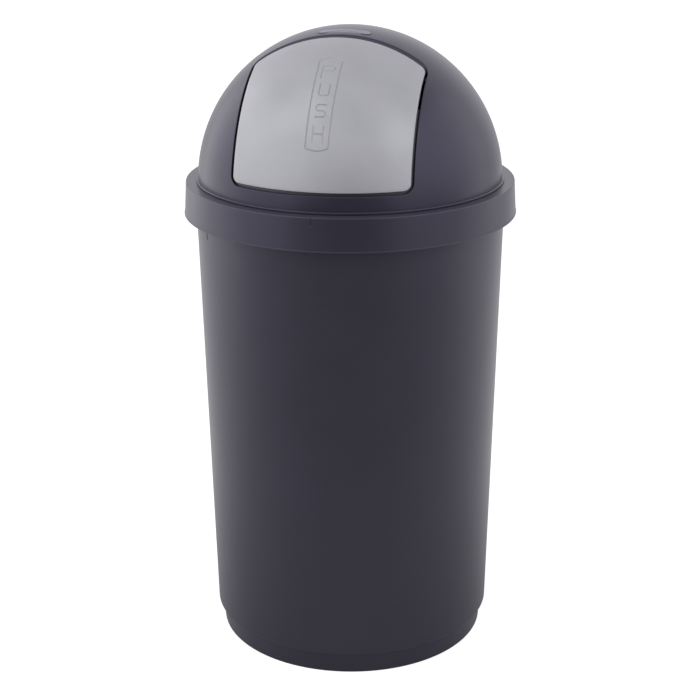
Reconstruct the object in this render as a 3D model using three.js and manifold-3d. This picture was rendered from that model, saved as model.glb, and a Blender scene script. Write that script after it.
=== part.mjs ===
// A push-flap waste bin: a tapered bucket with a stepped foot, a collar over its rim, a half-ball
// dome standing in the collar, and a sprung flap in the front of the dome.
// Millimetres, +Z up. The origin is the middle of the footprint on the floor; the flap faces -Y.

import * as THREE from "three";
import { mergeVertices } from "three/addons/utils/BufferGeometryUtils.js";
import Module from "manifold-3d";

const wasm = await Module();
wasm.setup();

// ---- Driving dimensions, millimetres and degrees ----

const seatGap = 0.3; // between pieces that rest on or in each other

// Bucket
const bucketHeight = 561;
const bucketRimRadius = 179.4; // outside, at the very top
const bucketStepRadius = 168.7; // outside, where the body steps in to the foot
const footTopRadius = 163.2;
const footBottomRadius = 161.5;
const footHeight = 28.9;
const bucketWall = 2.5;
const floorHeight = 6; // underside of the floor above the ground
const floorThickness = 2.5;
const footRingWidth = 12;
const footEdgeRound = 1.5;
const rimLipReach = 4.6;
const rimLipThickness = 3;
const underCollarRibWidth = 1.6;
const underCollarRibHeight = 38; // half of it shows below the collar
const underCollarRibReach = 0.5;
const underCollarRibAngle = -52.3; // from the front, towards the right; a second rib stands opposite

// Collar
const collarWall = 2.4;
const collarOverhang = 10.6; // collar's outside beyond the bucket's rim, at the top
const collarFlare = 2.3; // the band is this much wider at its lower edge
const collarDepth = 36.8;
const collarEdgeRound = 1.6;
const bagClearance = 0.7; // room for the bag between the collar's inner skirt and the bucket
const innerSkirtWall = 2.2;
const innerSkirtDepth = 16;
const centringRibs = 12;
const centringRibWidth = 2;
const centringRibDepth = 20;
const frontMarkWidth = 1;
const frontMarkHeight = 8;
const frontMarkDepth = 0.5;

// Dome
const domeWall = 2.4;
const domeShoulder = 2.35; // the ball's outside beyond the spigot that drops into the collar
const domeSink = 3.6; // the ball's centre below the collar's top face
const spigotFit = 0.35;
const spigotWall = 2.2;
const spigotDepth = 18; // below the collar's top face
const beadReach = 2.2; // bead round the dome's base
const beadHeight = 2.4;
const keyWidth = 8; // the key that lines the dome up with the collar's front mark
const keyReach = 1.6;
const keyClearance = 0.5;

// Flap and the opening it fills
const flapHalfWidth = 98.2; // at the flap's lower edge
const flapNarrowing = 0.0177; // mm narrower, each side, for each mm of height
const flapBottomRise = 22.6; // lower edge above the collar's top face
const flapTopAngle = 15.4; // upper edge, degrees down from the top of the dome
const flapTopLean = 0.131; // the upper edge leans forward by this much for each mm down
const flapTopCorner = 10;
const flapBottomCorner = 7;
const flapWall = 2.4;
const flapGap = 2; // all round, between flap and dome
const lipFlare = 1.75; // the opening's lower edge drops this much for each mm inwards
const stopLipThickness = 2;
const stopLipGap = 0.4; // from the dome's inside
const stopLipSideReach = 8;
const stopLipBottomReach = 11;
const stopLipTopDrop = 20; // the side lips end this far below the hinge
const rimRibWidth = 3;
const swingAngle = 70;

// Hinge, the same on both sides
const hingeBehindTopEdge = 1.6; // degrees further down the ball than the flap's upper edge
const hingeCover = 3.6; // from the axis to the dome's inside, at the bracket's outer edge
const pinRadius = 2.5;
const pinFit = 0.25;
const pinHeadRadius = 4;
const pinHeadLength = 2;
const hubRadius = 6.5;
const earThickness = 5;
const sideClearance = 0.5;
const springSpace = 7.6; // along the pin, between the flap's ear and the bracket
const wireRadius = 0.6;
const springRadius = 4.5; // middle of the wire
const springWholeTurns = 3;
const springLegAngle = 168; // the leg's direction, from straight back over the top to the front
const springFootLength = 8;
const springShelfWidth = 2.6; // the bracket's tab under the spring's foot
const springTipClearance = 1.2; // from the middle of the wire's end to the flap's skin
const heelWidth = 5;
const heelClearance = 1;
const bracketEarThickness = 4;
const bracketPlateThickness = 3;
const bracketPlateDepth = 36; // front to back
const bracketPlateWidth = 14.5;
const nutRadius = 5;
const nutThickness = 0.8;
const bossRadius = 4.5;
const screwSpacing = 26;
const screwFromInnerEdge = 8.5;
const screwRadius = 1.35;
const screwHeadRadius = 3.2;
const screwHeadHeight = 2;
const screwGrip = 6.5; // length of thread inside the boss

// Facets
const aroundSteps = 64;
const domeSteps = 12;
const smallSteps = 16;

// ---- Heights and radii that follow ----

const rad = THREE.MathUtils.degToRad;
const collarTop = bucketHeight + seatGap + collarWall;
const collarTopRadius = bucketRimRadius + collarOverhang;
const skirtOuter = bucketRimRadius - bucketWall - bagClearance;
const skirtInner = skirtOuter - innerSkirtWall;
const spigotOuter = skirtInner - spigotFit;
const spigotInner = spigotOuter - spigotWall;
const domeRadius = spigotOuter + domeShoulder;
const domeInner = domeRadius - domeWall;
const domeCentre = collarTop - domeSink;
const domeBase = collarTop + seatGap;

const flapBottom = collarTop + flapBottomRise;
const flapTopY = -domeRadius * Math.sin(rad(flapTopAngle));
const flapTopZ = domeCentre + domeRadius * Math.cos(rad(flapTopAngle));
const stopLipOuter = domeInner - stopLipGap;
const stopLipInner = stopLipOuter - stopLipThickness;

// Half the flap's width at height z.
function halfWidthAt(z) {
  return flapHalfWidth - flapNarrowing * (z - flapBottom);
}

// Places across the hinge, measured from the middle of the bin.
const bracketInnerX = halfWidthAt(flapTopZ - flapTopCorner * 3) + sideClearance;
const bracketEarOuterX = bracketInnerX + bracketEarThickness;
const plateOuterX = bracketInnerX + bracketPlateWidth;
const earOuterX = bracketInnerX - springSpace;
const earInnerX = earOuterX - earThickness;
const pinHeadX = earInnerX - seatGap;
const nutX = bracketEarOuterX + seatGap;
const pinEndX = nutX + nutThickness + 1.2;

// The axis runs across the bin at this distance from the ball's centre.
const hingeRadius = Math.sqrt(domeInner ** 2 - plateOuterX ** 2) - hingeCover;
const hingeAngle = rad(flapTopAngle + hingeBehindTopEdge);
const hingeY = -hingeRadius * Math.sin(hingeAngle);
const hingeZ = domeCentre + hingeRadius * Math.cos(hingeAngle);
const plateTop = hingeZ - springRadius - wireRadius - seatGap;
const plateBottom = plateTop - bracketPlateThickness;
const screwX = bracketInnerX + screwFromInnerEdge;

// ---- Materials ----

const charcoal = new THREE.MeshStandardMaterial({ color: 0x35343d, roughness: 0.55 });
const charcoalCollar = new THREE.MeshStandardMaterial({ color: 0x33323c, roughness: 0.45 });
const charcoalDome = new THREE.MeshStandardMaterial({ color: 0x37363f, roughness: 0.42 });
const silver = new THREE.MeshStandardMaterial({ color: 0xa6a6aa, roughness: 0.4, metalness: 0.3 });
const blackPlastic = new THREE.MeshStandardMaterial({ color: 0x242429, roughness: 0.6 });
const steel = new THREE.MeshStandardMaterial({ color: 0xb9bbbe, roughness: 0.3, metalness: 1 });
const springSteel = new THREE.MeshStandardMaterial({ color: 0x8d9095, roughness: 0.35, metalness: 1 });

// ---- Solids ----

// A closed three.js geometry as a solid that can be joined and cut.
function solid(geometry) {
  const bare = geometry.index ? geometry.toNonIndexed() : geometry.clone();
  bare.deleteAttribute("normal");
  bare.deleteAttribute("uv");
  const merged = mergeVertices(bare, 1e-4);
  const vertProperties = new Float32Array(merged.attributes.position.array);
  const triVerts = new Uint32Array(merged.index.array);
  return new wasm.Manifold(new wasm.Mesh({ numProp: 3, vertProperties, triVerts }));
}

// The solid as a three.js geometry with one normal for each facet.
function geometryOf(shape) {
  const mesh = shape.getMesh();
  const geometry = new THREE.BufferGeometry();
  geometry.setAttribute("position", new THREE.BufferAttribute(mesh.vertProperties, 3));
  geometry.setIndex(new THREE.BufferAttribute(mesh.triVerts, 1));
  const faceted = geometry.toNonIndexed();
  faceted.computeVertexNormals();
  return faceted;
}

// A profile of [radius, height] points, turned round the Z axis.
function turned(profile) {
  const points = profile.map(([r, z]) => new THREE.Vector2(r, z));
  return solid(new THREE.LatheGeometry(points, aroundSteps).rotateX(Math.PI / 2));
}

// Points on the ball of the given radius, from the pole down to the height bottom.
function ballArc(radius, bottom) {
  const last = Math.acos((bottom - domeCentre) / radius);
  const points = [];
  for (let i = 0; i <= domeSteps; i += 1) {
    const angle = (last * i) / domeSteps;
    const r = i === 0 ? 0 : radius * Math.sin(angle);
    points.push([r, domeCentre + radius * Math.cos(angle)]);
  }
  return points;
}

// A thick skin of the ball between two radii, down to the height bottom.
function ballShell(outer, inner, bottom) {
  return turned([...ballArc(inner, bottom), ...ballArc(outer, bottom).reverse()]);
}

// The ball's inside of the given radius, above the dome's base.
function ballSolid(radius) {
  return turned([[0, domeBase], ...ballArc(radius, domeBase).reverse()]);
}

function box(x0, x1, y0, y1, z0, z1) {
  const geometry = new THREE.BoxGeometry(x1 - x0, y1 - y0, z1 - z0);
  geometry.translate((x0 + x1) / 2, (y0 + y1) / 2, (z0 + z1) / 2);
  return solid(geometry);
}

function uprightCylinder(radius, x, y, z0, z1) {
  const geometry = new THREE.CylinderGeometry(radius, radius, z1 - z0, smallSteps);
  geometry.rotateX(Math.PI / 2);
  geometry.translate(x, y, (z0 + z1) / 2);
  return solid(geometry);
}

// A cylinder on the hinge's axis, from x0 to x1.
function axleCylinder(radius, x0, x1) {
  const geometry = new THREE.CylinderGeometry(radius, radius, x1 - x0, smallSteps);
  geometry.rotateZ(Math.PI / 2);
  geometry.translate((x0 + x1) / 2, hingeY, hingeZ);
  return solid(geometry);
}

// A slab across the bin from x0 to x1, whose outline is [y, z] points measured from the hinge.
function hingeSlab(outline, x0, x1) {
  const shape = new THREE.Shape(outline.map(([y, z]) => new THREE.Vector2(y, z)));
  const geometry = new THREE.ExtrudeGeometry(shape, { depth: x1 - x0, bevelEnabled: false });
  // The outline's plane turns from XY to YZ, and the depth runs along X.
  geometry.applyMatrix4(new THREE.Matrix4().set(0, 0, 1, x0, 1, 0, 0, hingeY, 0, 1, 0, hingeZ, 0, 0, 0, 1));
  return solid(geometry);
}

// An outline with two square corners at the far end and two rounded ones at the near end,
// from -half to half across. The near edge is at 0 and the far one at length.
function roundedTongue(half, length, corner) {
  const shape = new THREE.Shape();
  shape.moveTo(-half, length);
  shape.lineTo(-half, corner);
  shape.absarc(-half + corner, corner, corner, Math.PI, Math.PI * 1.5, false);
  shape.absarc(half - corner, corner, corner, Math.PI * 1.5, Math.PI * 2, false);
  shape.lineTo(half, length);
  shape.closePath();
  return shape;
}

// Moves each point in towards the middle so that the sides narrow upwards as the flap does.
function narrowed(geometry, half) {
  const position = geometry.attributes.position;
  for (let i = 0; i < position.count; i += 1) {
    const wanted = halfWidthAt(position.getZ(i)) + half - flapHalfWidth;
    position.setX(i, (position.getX(i) * wanted) / half);
  }
  return geometry;
}

// The space that the flap's outline sweeps through the dome's wall, grown by the given amounts.
// Seen from the front it has rounded lower corners, and seen from above rounded rear ones.
function windowSpace(side, bottom, top) {
  const half = flapHalfWidth + side;
  const reach = domeRadius * 2;
  const settings = { depth: reach, bevelEnabled: false, curveSegments: 6 };

  const front = new THREE.ExtrudeGeometry(roundedTongue(half, reach, flapBottomCorner + bottom), settings);
  front.rotateX(Math.PI / 2);
  front.translate(0, 0, flapBottom - bottom);

  const above = new THREE.ExtrudeGeometry(roundedTongue(half, reach, flapTopCorner + top), settings);
  above.rotateZ(Math.PI);
  above.applyMatrix4(new THREE.Matrix4().makeShear(0, 0, 0, 0, 0, flapTopLean));
  above.translate(0, flapTopY + top - flapTopLean * (flapTopZ - domeCentre), domeCentre);

  return solid(narrowed(front, half)).intersect(solid(narrowed(above, half)));
}

// ---- Bucket ----

// Outside radius of the tapered body at height z.
function bodyRadiusAt(z) {
  const slope = (bucketRimRadius - bucketStepRadius) / (bucketHeight - footHeight);
  return bucketStepRadius + slope * (z - footHeight);
}

function makeBucket() {
  const ringInner = footBottomRadius - footEdgeRound - footRingWidth;
  const floorTop = floorHeight + floorThickness;
  const stepEase = 0.8;
  const lipBottom = bucketHeight - rimLipThickness;
  const lipRadius = bucketRimRadius + rimLipReach;
  let bucket = turned([
    [0, floorHeight],
    [ringInner - footRingWidth / 4, floorHeight],
    [ringInner, 0],
    [footBottomRadius - footEdgeRound, 0],
    [footBottomRadius, footEdgeRound],
    [footTopRadius, footHeight - stepEase * 2],
    [bucketStepRadius - stepEase, footHeight - stepEase],
    [bucketStepRadius, footHeight + stepEase / 2],
    [bodyRadiusAt(lipBottom), lipBottom],
    [lipRadius - stepEase, lipBottom],
    [lipRadius, lipBottom + stepEase],
    [lipRadius, bucketHeight - stepEase],
    [lipRadius - stepEase, bucketHeight],
    [bucketRimRadius - bucketWall, bucketHeight],
    [bodyRadiusAt(footHeight + bucketWall) - bucketWall, footHeight + bucketWall],
    [footTopRadius - bucketWall, footHeight - bucketWall / 2],
    [footBottomRadius - bucketWall, floorTop + footEdgeRound],
    [footBottomRadius - bucketWall - footEdgeRound, floorTop],
    [0, floorTop],
  ]);
  // Two shallow upright ribs, opposite each other, run up under the collar.
  const ribBottom = collarTop - collarDepth - underCollarRibHeight / 2;
  const ribTop = ribBottom + underCollarRibHeight;
  for (const turn of [0, Math.PI]) {
    const inner = bodyRadiusAt(ribBottom) - bucketWall / 2;
    const outer = bodyRadiusAt(ribTop) + underCollarRibReach;
    const half = underCollarRibWidth / 2;
    const shape = new THREE.Shape([
      new THREE.Vector2(inner, ribBottom),
      new THREE.Vector2(outer - (bodyRadiusAt(ribTop) - bodyRadiusAt(ribBottom)), ribBottom),
      new THREE.Vector2(outer, ribTop),
      new THREE.Vector2(inner, ribTop),
    ]);
    const geometry = new THREE.ExtrudeGeometry(shape, { depth: half * 2, bevelEnabled: false });
    geometry.translate(0, 0, -half);
    geometry.rotateX(Math.PI / 2);
    geometry.rotateZ(-Math.PI / 2 + rad(underCollarRibAngle) + turn);
    bucket = bucket.add(solid(geometry));
  }
  return bucket;
}

// ---- Collar ----

function makeCollar() {
  const bottom = collarTop - collarDepth;
  const bottomRadius = collarTopRadius + collarFlare;
  const skirtBottom = collarTop - innerSkirtDepth;
  const under = collarTop - collarWall;
  const underRadius = collarTopRadius - collarWall;
  const profile = [
    [skirtInner, skirtBottom],
    [skirtOuter, skirtBottom],
    [skirtOuter, under],
    [underRadius, under],
    [bottomRadius - collarWall, bottom],
    [bottomRadius, bottom],
    [collarTopRadius, collarTop - collarEdgeRound],
    [collarTopRadius - collarEdgeRound * 0.3, collarTop - collarEdgeRound * 0.3],
    [collarTopRadius - collarEdgeRound, collarTop],
    [skirtInner, collarTop],
  ];
  let collar = turned([...profile, profile[0]]);

  // Ribs inside the band keep it centred on the bucket's lip.
  const ribInner = bucketRimRadius + rimLipReach + seatGap;
  for (let i = 0; i < centringRibs; i += 1) {
    const rib = new THREE.BoxGeometry(
      underRadius + collarWall / 2 - ribInner,
      centringRibWidth,
      centringRibDepth,
    );
    rib.translate((underRadius + collarWall / 2 + ribInner) / 2, 0, under - centringRibDepth / 2 + seatGap);
    rib.rotateZ(((i + 0.5) * 2 * Math.PI) / centringRibs);
    collar = collar.add(solid(rib));
  }

  // The slot that the dome's key drops into, and the front mark outside it.
  const slotHalf = keyWidth / 2 + keyClearance;
  const slotFront = -skirtOuter - seatGap;
  const slot = box(-slotHalf, slotHalf, slotFront, -skirtInner + 4, skirtBottom - 1, collarTop + 1);
  const mark = box(
    -frontMarkWidth / 2,
    frontMarkWidth / 2,
    -collarTopRadius - collarFlare,
    -collarTopRadius + frontMarkDepth,
    collarTop - collarEdgeRound - frontMarkHeight,
    collarTop - collarEdgeRound,
  );
  return collar.subtract(slot).subtract(mark);
}

// ---- Dome ----

function makeDome() {
  const ledge = domeBase + beadHeight;
  const spigotBottom = collarTop - spigotDepth;
  const beadRadius = domeRadius + beadReach;
  const outerArc = ballArc(domeRadius, ledge);
  const innerArc = ballArc(domeInner, ledge + domeWall / 2);
  let dome = turned([
    ...innerArc,
    [spigotInner, domeBase + domeWall / 2],
    [spigotInner, spigotBottom],
    [spigotOuter, spigotBottom],
    [spigotOuter, domeBase],
    [beadRadius, domeBase],
    [beadRadius, domeBase + beadHeight / 2],
    [beadRadius - beadReach / 2, ledge - beadHeight / 6],
    ...outerArc.reverse(),
  ]);

  // Bosses hang from the dome's inside, and each takes one bracket screw.
  const core = ballSolid(domeRadius - domeWall / 2);
  for (const side of [-1, 1]) {
    for (const end of [-1, 1]) {
      const x = side * screwX;
      const y = hingeY + (end * screwSpacing) / 2;
      const roof = Math.sqrt(domeRadius ** 2 - x ** 2 - y ** 2) + domeCentre;
      const boss = uprightCylinder(bossRadius, x, y, plateTop + seatGap, roof);
      const pilotTop = plateTop + seatGap * 2 + screwGrip;
      const pilot = uprightCylinder(screwRadius + seatGap, x, y, plateTop, pilotTop);
      dome = dome.add(boss.intersect(core)).subtract(pilot);
    }
  }

  // The key under the front of the dome.
  const key = box(
    -keyWidth / 2,
    keyWidth / 2,
    -spigotOuter - keyReach,
    -spigotInner - spigotWall / 2,
    spigotBottom,
    domeBase + beadHeight / 4,
  );

  // The opening. Its lower edge slopes down inwards, so that the flap clears it as it swings.
  const lowerEdge = flapBottom - flapGap;
  const edgeRadius = Math.sqrt(domeRadius ** 2 - (lowerEdge - domeCentre) ** 2);
  const slopeDepth = domeWall * 3;
  const slope = turned([
    [edgeRadius, lowerEdge],
    [edgeRadius, lowerEdge + 1],
    [edgeRadius - slopeDepth, lowerEdge + 1],
    [edgeRadius - slopeDepth, lowerEdge - slopeDepth * lipFlare],
    [edgeRadius, lowerEdge],
  ]);
  const slopeHalf = flapHalfWidth + flapGap - flapBottomCorner;
  const front = box(-slopeHalf, slopeHalf, -domeRadius, 0, domeBase, flapBottom);
  return dome
    .add(key)
    .subtract(windowSpace(flapGap, flapGap, flapGap))
    .subtract(slope.intersect(front));
}

// ---- Flap ----

// The flap's hinge ear: a hub on the pin, a neck that grows into the flap's skin and a heel
// that meets the dome's inside when the flap is fully open.
function makeEar(x0, x1) {
  const wallAway = Math.sqrt(domeInner ** 2 - Math.max(Math.abs(x0), Math.abs(x1)) ** 2) - hingeRadius;
  const heelLength = wallAway - heelClearance;
  const outwards = Math.PI / 2 + hingeAngle;
  const heelAngle = outwards - rad(swingAngle);
  const along = new THREE.Vector2(Math.cos(heelAngle), Math.sin(heelAngle));
  const across = new THREE.Vector2(-along.y, along.x).multiplyScalar(heelWidth / 2);
  const tip = along.clone().multiplyScalar(heelLength);
  const heel = [
    [-across.x, -across.y],
    [tip.x - across.x, tip.y - across.y],
    [tip.x + across.x, tip.y + across.y],
    [across.x, across.y],
  ];
  // The neck leaves the hub under the dome's wall and ends inside the flap's skin.
  const skinAway = Math.sqrt(domeInner ** 2 - x0 ** 2) - hingeRadius;
  const neck = [
    [0, hubRadius],
    [-skinAway * 0.8, skinAway],
    [-skinAway * 2.4, skinAway * 0.6],
    [-hubRadius * 0.6, -hubRadius * 0.8],
  ];
  const slab = hingeSlab(neck, x0, x1);
  const underWall = slab.intersect(ballSolid(stopLipInner));
  const inSkin = slab.intersect(ballSolid(domeRadius - flapWall / 2)).intersect(windowSpace(-1, 0, -1));
  return axleCylinder(hubRadius, x0, x1).add(hingeSlab(heel, x0, x1)).add(underWall).add(inSkin);
}

function makeFlap() {
  const low = domeBase + beadHeight;
  const outline = windowSpace(0, 0, 0);
  const field = windowSpace(-rimRibWidth, -rimRibWidth, -rimRibWidth);
  const skin = ballShell(domeRadius, domeRadius - flapWall, low).intersect(outline);
  const rim = ballShell(domeRadius, stopLipInner, low).intersect(outline.subtract(field));
  const lipTop = hingeZ - stopLipTopDrop;
  const belowHinge = box(-domeRadius, domeRadius, -domeRadius, 0, low, lipTop);
  const lip = ballShell(stopLipOuter, stopLipInner, low)
    .intersect(windowSpace(stopLipSideReach, stopLipBottomReach, 0).subtract(field))
    .intersect(belowHinge);
  let flap = skin.add(rim).add(lip);
  for (const side of [-1, 1]) {
    const ends = [side * earInnerX, side * earOuterX].sort((a, b) => a - b);
    flap = flap.add(makeEar(...ends));
  }
  return flap.subtract(axleCylinder(pinRadius + pinFit, -earOuterX - 1, earOuterX + 1));
}

// ---- Hinge set, made for the right side and mirrored for the left ----

function makeBracket() {
  const halfDepth = bracketPlateDepth / 2;
  const plate = box(
    bracketInnerX,
    plateOuterX,
    hingeY - halfDepth,
    hingeY + halfDepth,
    plateBottom,
    plateTop,
  );
  const post = box(
    bracketInnerX,
    bracketEarOuterX,
    hingeY - hubRadius,
    hingeY + hubRadius,
    plateBottom,
    hingeZ,
  );
  const shelf = box(
    bracketInnerX - springShelfWidth,
    bracketInnerX + 1,
    hingeY - springFootLength - springShelfWidth / 2,
    hingeY,
    plateBottom,
    plateTop,
  );
  const hub = axleCylinder(hubRadius, bracketInnerX, bracketEarOuterX);
  let bracket = plate.add(post).add(shelf).add(hub);
  for (const end of [-1, 1]) {
    const y = hingeY + (end * screwSpacing) / 2;
    bracket = bracket.subtract(
      uprightCylinder(screwRadius + seatGap, screwX, y, plateBottom - 1, plateTop + 1),
    );
  }
  return bracket.subtract(axleCylinder(pinRadius + pinFit, bracketInnerX - 1, bracketEarOuterX + 1));
}

function makePin() {
  return axleCylinder(pinHeadRadius, pinHeadX - pinHeadLength, pinHeadX).add(
    axleCylinder(pinRadius, pinHeadX - pinHeadLength / 2, pinEndX),
  );
}

function makePushNut() {
  const dish = axleCylinder(nutRadius, nutX, nutX + nutThickness);
  return dish.subtract(axleCylinder(pinRadius + pinFit, nutX - 1, nutX + nutThickness + 1));
}

function makeScrew(y) {
  const headTop = plateBottom - seatGap;
  const head = uprightCylinder(screwHeadRadius, screwX, y, headTop - screwHeadHeight, headTop);
  const shank = uprightCylinder(screwRadius, screwX, y, headTop - 1, plateTop + seatGap + screwGrip);
  return head.add(shank);
}

// The wire of the spring: a foot on the bracket's shelf, turns round the pin, and a leg that runs
// to the inside of the flap's skin.
class SpringWire extends THREE.Curve {
  constructor() {
    super();
    const leg = rad(springLegAngle);
    this.startAngle = -Math.PI / 2;
    this.turn = leg - Math.PI / 2 - this.startAngle + springWholeTurns * 2 * Math.PI;
    this.startX = bracketInnerX - seatGap - wireRadius;
    this.endX = earOuterX + seatGap + wireRadius;
    this.coil = this.turn * springRadius;

    // How far the leg goes before it meets the skin, in the plane of the coil's last turn.
    const skin = Math.sqrt((domeRadius - flapWall) ** 2 - this.endX ** 2) - springTipClearance;
    const y = hingeY + springRadius * Math.sin(leg);
    const z = hingeZ - domeCentre - springRadius * Math.cos(leg);
    const along = y * Math.cos(leg) + z * Math.sin(leg);
    this.leg = Math.sqrt(along ** 2 + skin ** 2 - y ** 2 - z ** 2) - along;
    this.whole = springFootLength + this.coil + this.leg;
  }

  getPoint(t, target = new THREE.Vector3()) {
    const travelled = t * this.whole - springFootLength;
    const share = THREE.MathUtils.clamp(travelled / this.coil, 0, 1);
    const angle = this.startAngle + share * this.turn;
    const straight = Math.min(travelled, 0) + Math.max(travelled - this.coil, 0);
    const x = this.startX + (this.endX - this.startX) * share;
    const y = hingeY + springRadius * Math.cos(angle) - straight * Math.sin(angle);
    const z = hingeZ + springRadius * Math.sin(angle) + straight * Math.cos(angle);
    return target.set(x, y, z);
  }
}

function makeSpring() {
  const section = new THREE.Shape();
  section.absarc(0, 0, wireRadius, 0, Math.PI * 2, false);
  const settings = { extrudePath: new SpringWire(), steps: 60, curveSegments: 3 };
  return solid(new THREE.ExtrudeGeometry(section, settings));
}

// ---- The whole bin ----

function piece(parent, name, shape, material) {
  const mesh = new THREE.Mesh(geometryOf(shape), material);
  mesh.name = name;
  parent.add(mesh);
  return mesh;
}

const bin = new THREE.Group();
piece(bin, "bucket", makeBucket(), charcoal);
piece(bin, "collar_ring", makeCollar(), charcoalCollar);
piece(bin, "dome_shell", makeDome(), charcoalDome);
piece(bin, "push_flap", makeFlap(), silver);

for (const [label, mirror] of [["right", 1], ["left", -1]]) {
  const hinge = new THREE.Group();
  hinge.scale.x = mirror;
  bin.add(hinge);
  piece(hinge, `hinge_bracket_${label}`, makeBracket(), blackPlastic);
  piece(hinge, `hinge_pin_${label}`, makePin(), steel);
  piece(hinge, `push_nut_${label}`, makePushNut(), springSteel);
  piece(hinge, `torsion_spring_${label}`, makeSpring(), springSteel);
  for (const [end, place] of [["front", -1], ["rear", 1]]) {
    const y = hingeY + (place * screwSpacing) / 2;
    piece(hinge, `bracket_screw_${label}_${end}`, makeScrew(y), steel);
  }
}

export default bin;
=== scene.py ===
import math

import bpy
import numpy as np
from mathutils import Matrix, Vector


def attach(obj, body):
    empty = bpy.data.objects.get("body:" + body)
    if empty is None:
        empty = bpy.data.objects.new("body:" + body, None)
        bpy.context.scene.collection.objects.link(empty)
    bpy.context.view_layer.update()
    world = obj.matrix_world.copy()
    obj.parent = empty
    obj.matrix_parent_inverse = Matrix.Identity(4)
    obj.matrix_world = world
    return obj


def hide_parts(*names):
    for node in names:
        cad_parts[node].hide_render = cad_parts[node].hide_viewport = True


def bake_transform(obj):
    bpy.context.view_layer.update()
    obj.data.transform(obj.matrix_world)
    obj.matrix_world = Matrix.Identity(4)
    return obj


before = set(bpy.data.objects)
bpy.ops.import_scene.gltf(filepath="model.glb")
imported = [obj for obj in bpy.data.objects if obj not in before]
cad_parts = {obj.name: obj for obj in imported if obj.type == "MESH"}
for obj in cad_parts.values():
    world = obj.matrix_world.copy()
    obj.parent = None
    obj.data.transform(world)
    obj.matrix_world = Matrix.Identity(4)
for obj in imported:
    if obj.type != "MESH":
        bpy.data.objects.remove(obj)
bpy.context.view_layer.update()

mm = 0.001  # measures below are millimetres, and meshes are written in metres

# The ball that the dome and the flap are cut from
ball = {"centre": 560.1, "radius": 176.0, "inner": 173.6}

# The flap's outline on the ball, before any gap or lip is added
outline = {
    "halfWidth": 98.2,      # at the lower edge
    "narrowing": 0.0177,    # each side, for each mm of height
    "bottom": 586.3,
    "bottomCorner": 7.0,
    "topAngle": 15.4,       # degrees down from the top of the ball
    "topLean": 0.131,       # the upper edge comes forward this much for each mm down
    "topCorner": 4.0,
    "leastCorner": 1.0,     # an outline moved in keeps corners at least this round
    "solveSteps": 6,        # rounds in which a height and its half width settle
}

sharpAngle = 38     # faces that meet at more degrees than this show an edge
mostOfSide = 0.45   # a corner's arc takes at most this share of a side
mostOfRest = 0.4    # and the point past it lies at most this far into what is left


# Rounds the corners of a line of (u, v, round) rows. Each corner becomes an arc that touches both
# of its sides, with one more point a little way along each side so that flat parts stay flat. A
# corner in the middle of a straight side has no arc, and its points are not numbers.
def roundedLine(corners, steps=4, closed=True, support=0.6):
    corners = np.asarray(corners, float)
    here, rounds = corners[:, :2], corners[:, 2]
    toBefore = np.roll(here, 1, axis=0) - here
    toAfter = np.roll(here, -1, axis=0) - here
    lengthBefore = np.linalg.norm(toBefore, axis=1)
    lengthAfter = np.linalg.norm(toAfter, axis=1)
    toBefore /= lengthBefore[:, None]
    toAfter /= lengthAfter[:, None]
    half = np.arccos(np.clip((toBefore * toAfter).sum(1), -0.999999, 0.999999)) / 2
    reach = np.minimum(rounds / np.tan(half), mostOfSide * np.minimum(lengthBefore, lengthAfter))
    radius = reach * np.tan(half)
    middle = toBefore + toAfter
    middle /= np.linalg.norm(middle, axis=1)[:, None]
    centre = here + middle * (radius / np.sin(half))[:, None]
    start = here + toBefore * reach[:, None] - centre
    end = here + toAfter * reach[:, None] - centre
    turn = np.maximum(math.pi - 2 * half, 1e-5)[:, None]
    share = np.linspace(0, 1, steps + 1)[None, :]
    fromStart = np.sin((1 - share) * turn) / np.sin(turn)
    fromEnd = np.sin(share * turn) / np.sin(turn)
    arc = centre[:, None] + fromStart[..., None] * start[:, None] + fromEnd[..., None] * end[:, None]
    restBefore = lengthBefore - reach - np.roll(reach, 1)
    restAfter = lengthAfter - reach - np.roll(reach, -1)
    first = here + toBefore * (reach + np.minimum(support, mostOfRest * restBefore))[:, None]
    last = here + toAfter * (reach + np.minimum(support, mostOfRest * restAfter))[:, None]
    whole = np.concatenate([first[:, None], arc, last[:, None]], axis=1)
    if closed:
        return whole.reshape(-1, 2)
    return np.concatenate([here[:1], whole[1:-1].reshape(-1, 2), here[-1:]])


# The outline of a rectangle with rounded corners, from two opposite corners.
def roundedBox(u0, v0, u1, v1, rounds, **settings):
    corners = [(u0, v0), (u1, v0), (u1, v1), (u0, v1)]
    return roundedLine([(u, v, turn) for (u, v), turn in zip(corners, rounds)], **settings)


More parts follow.
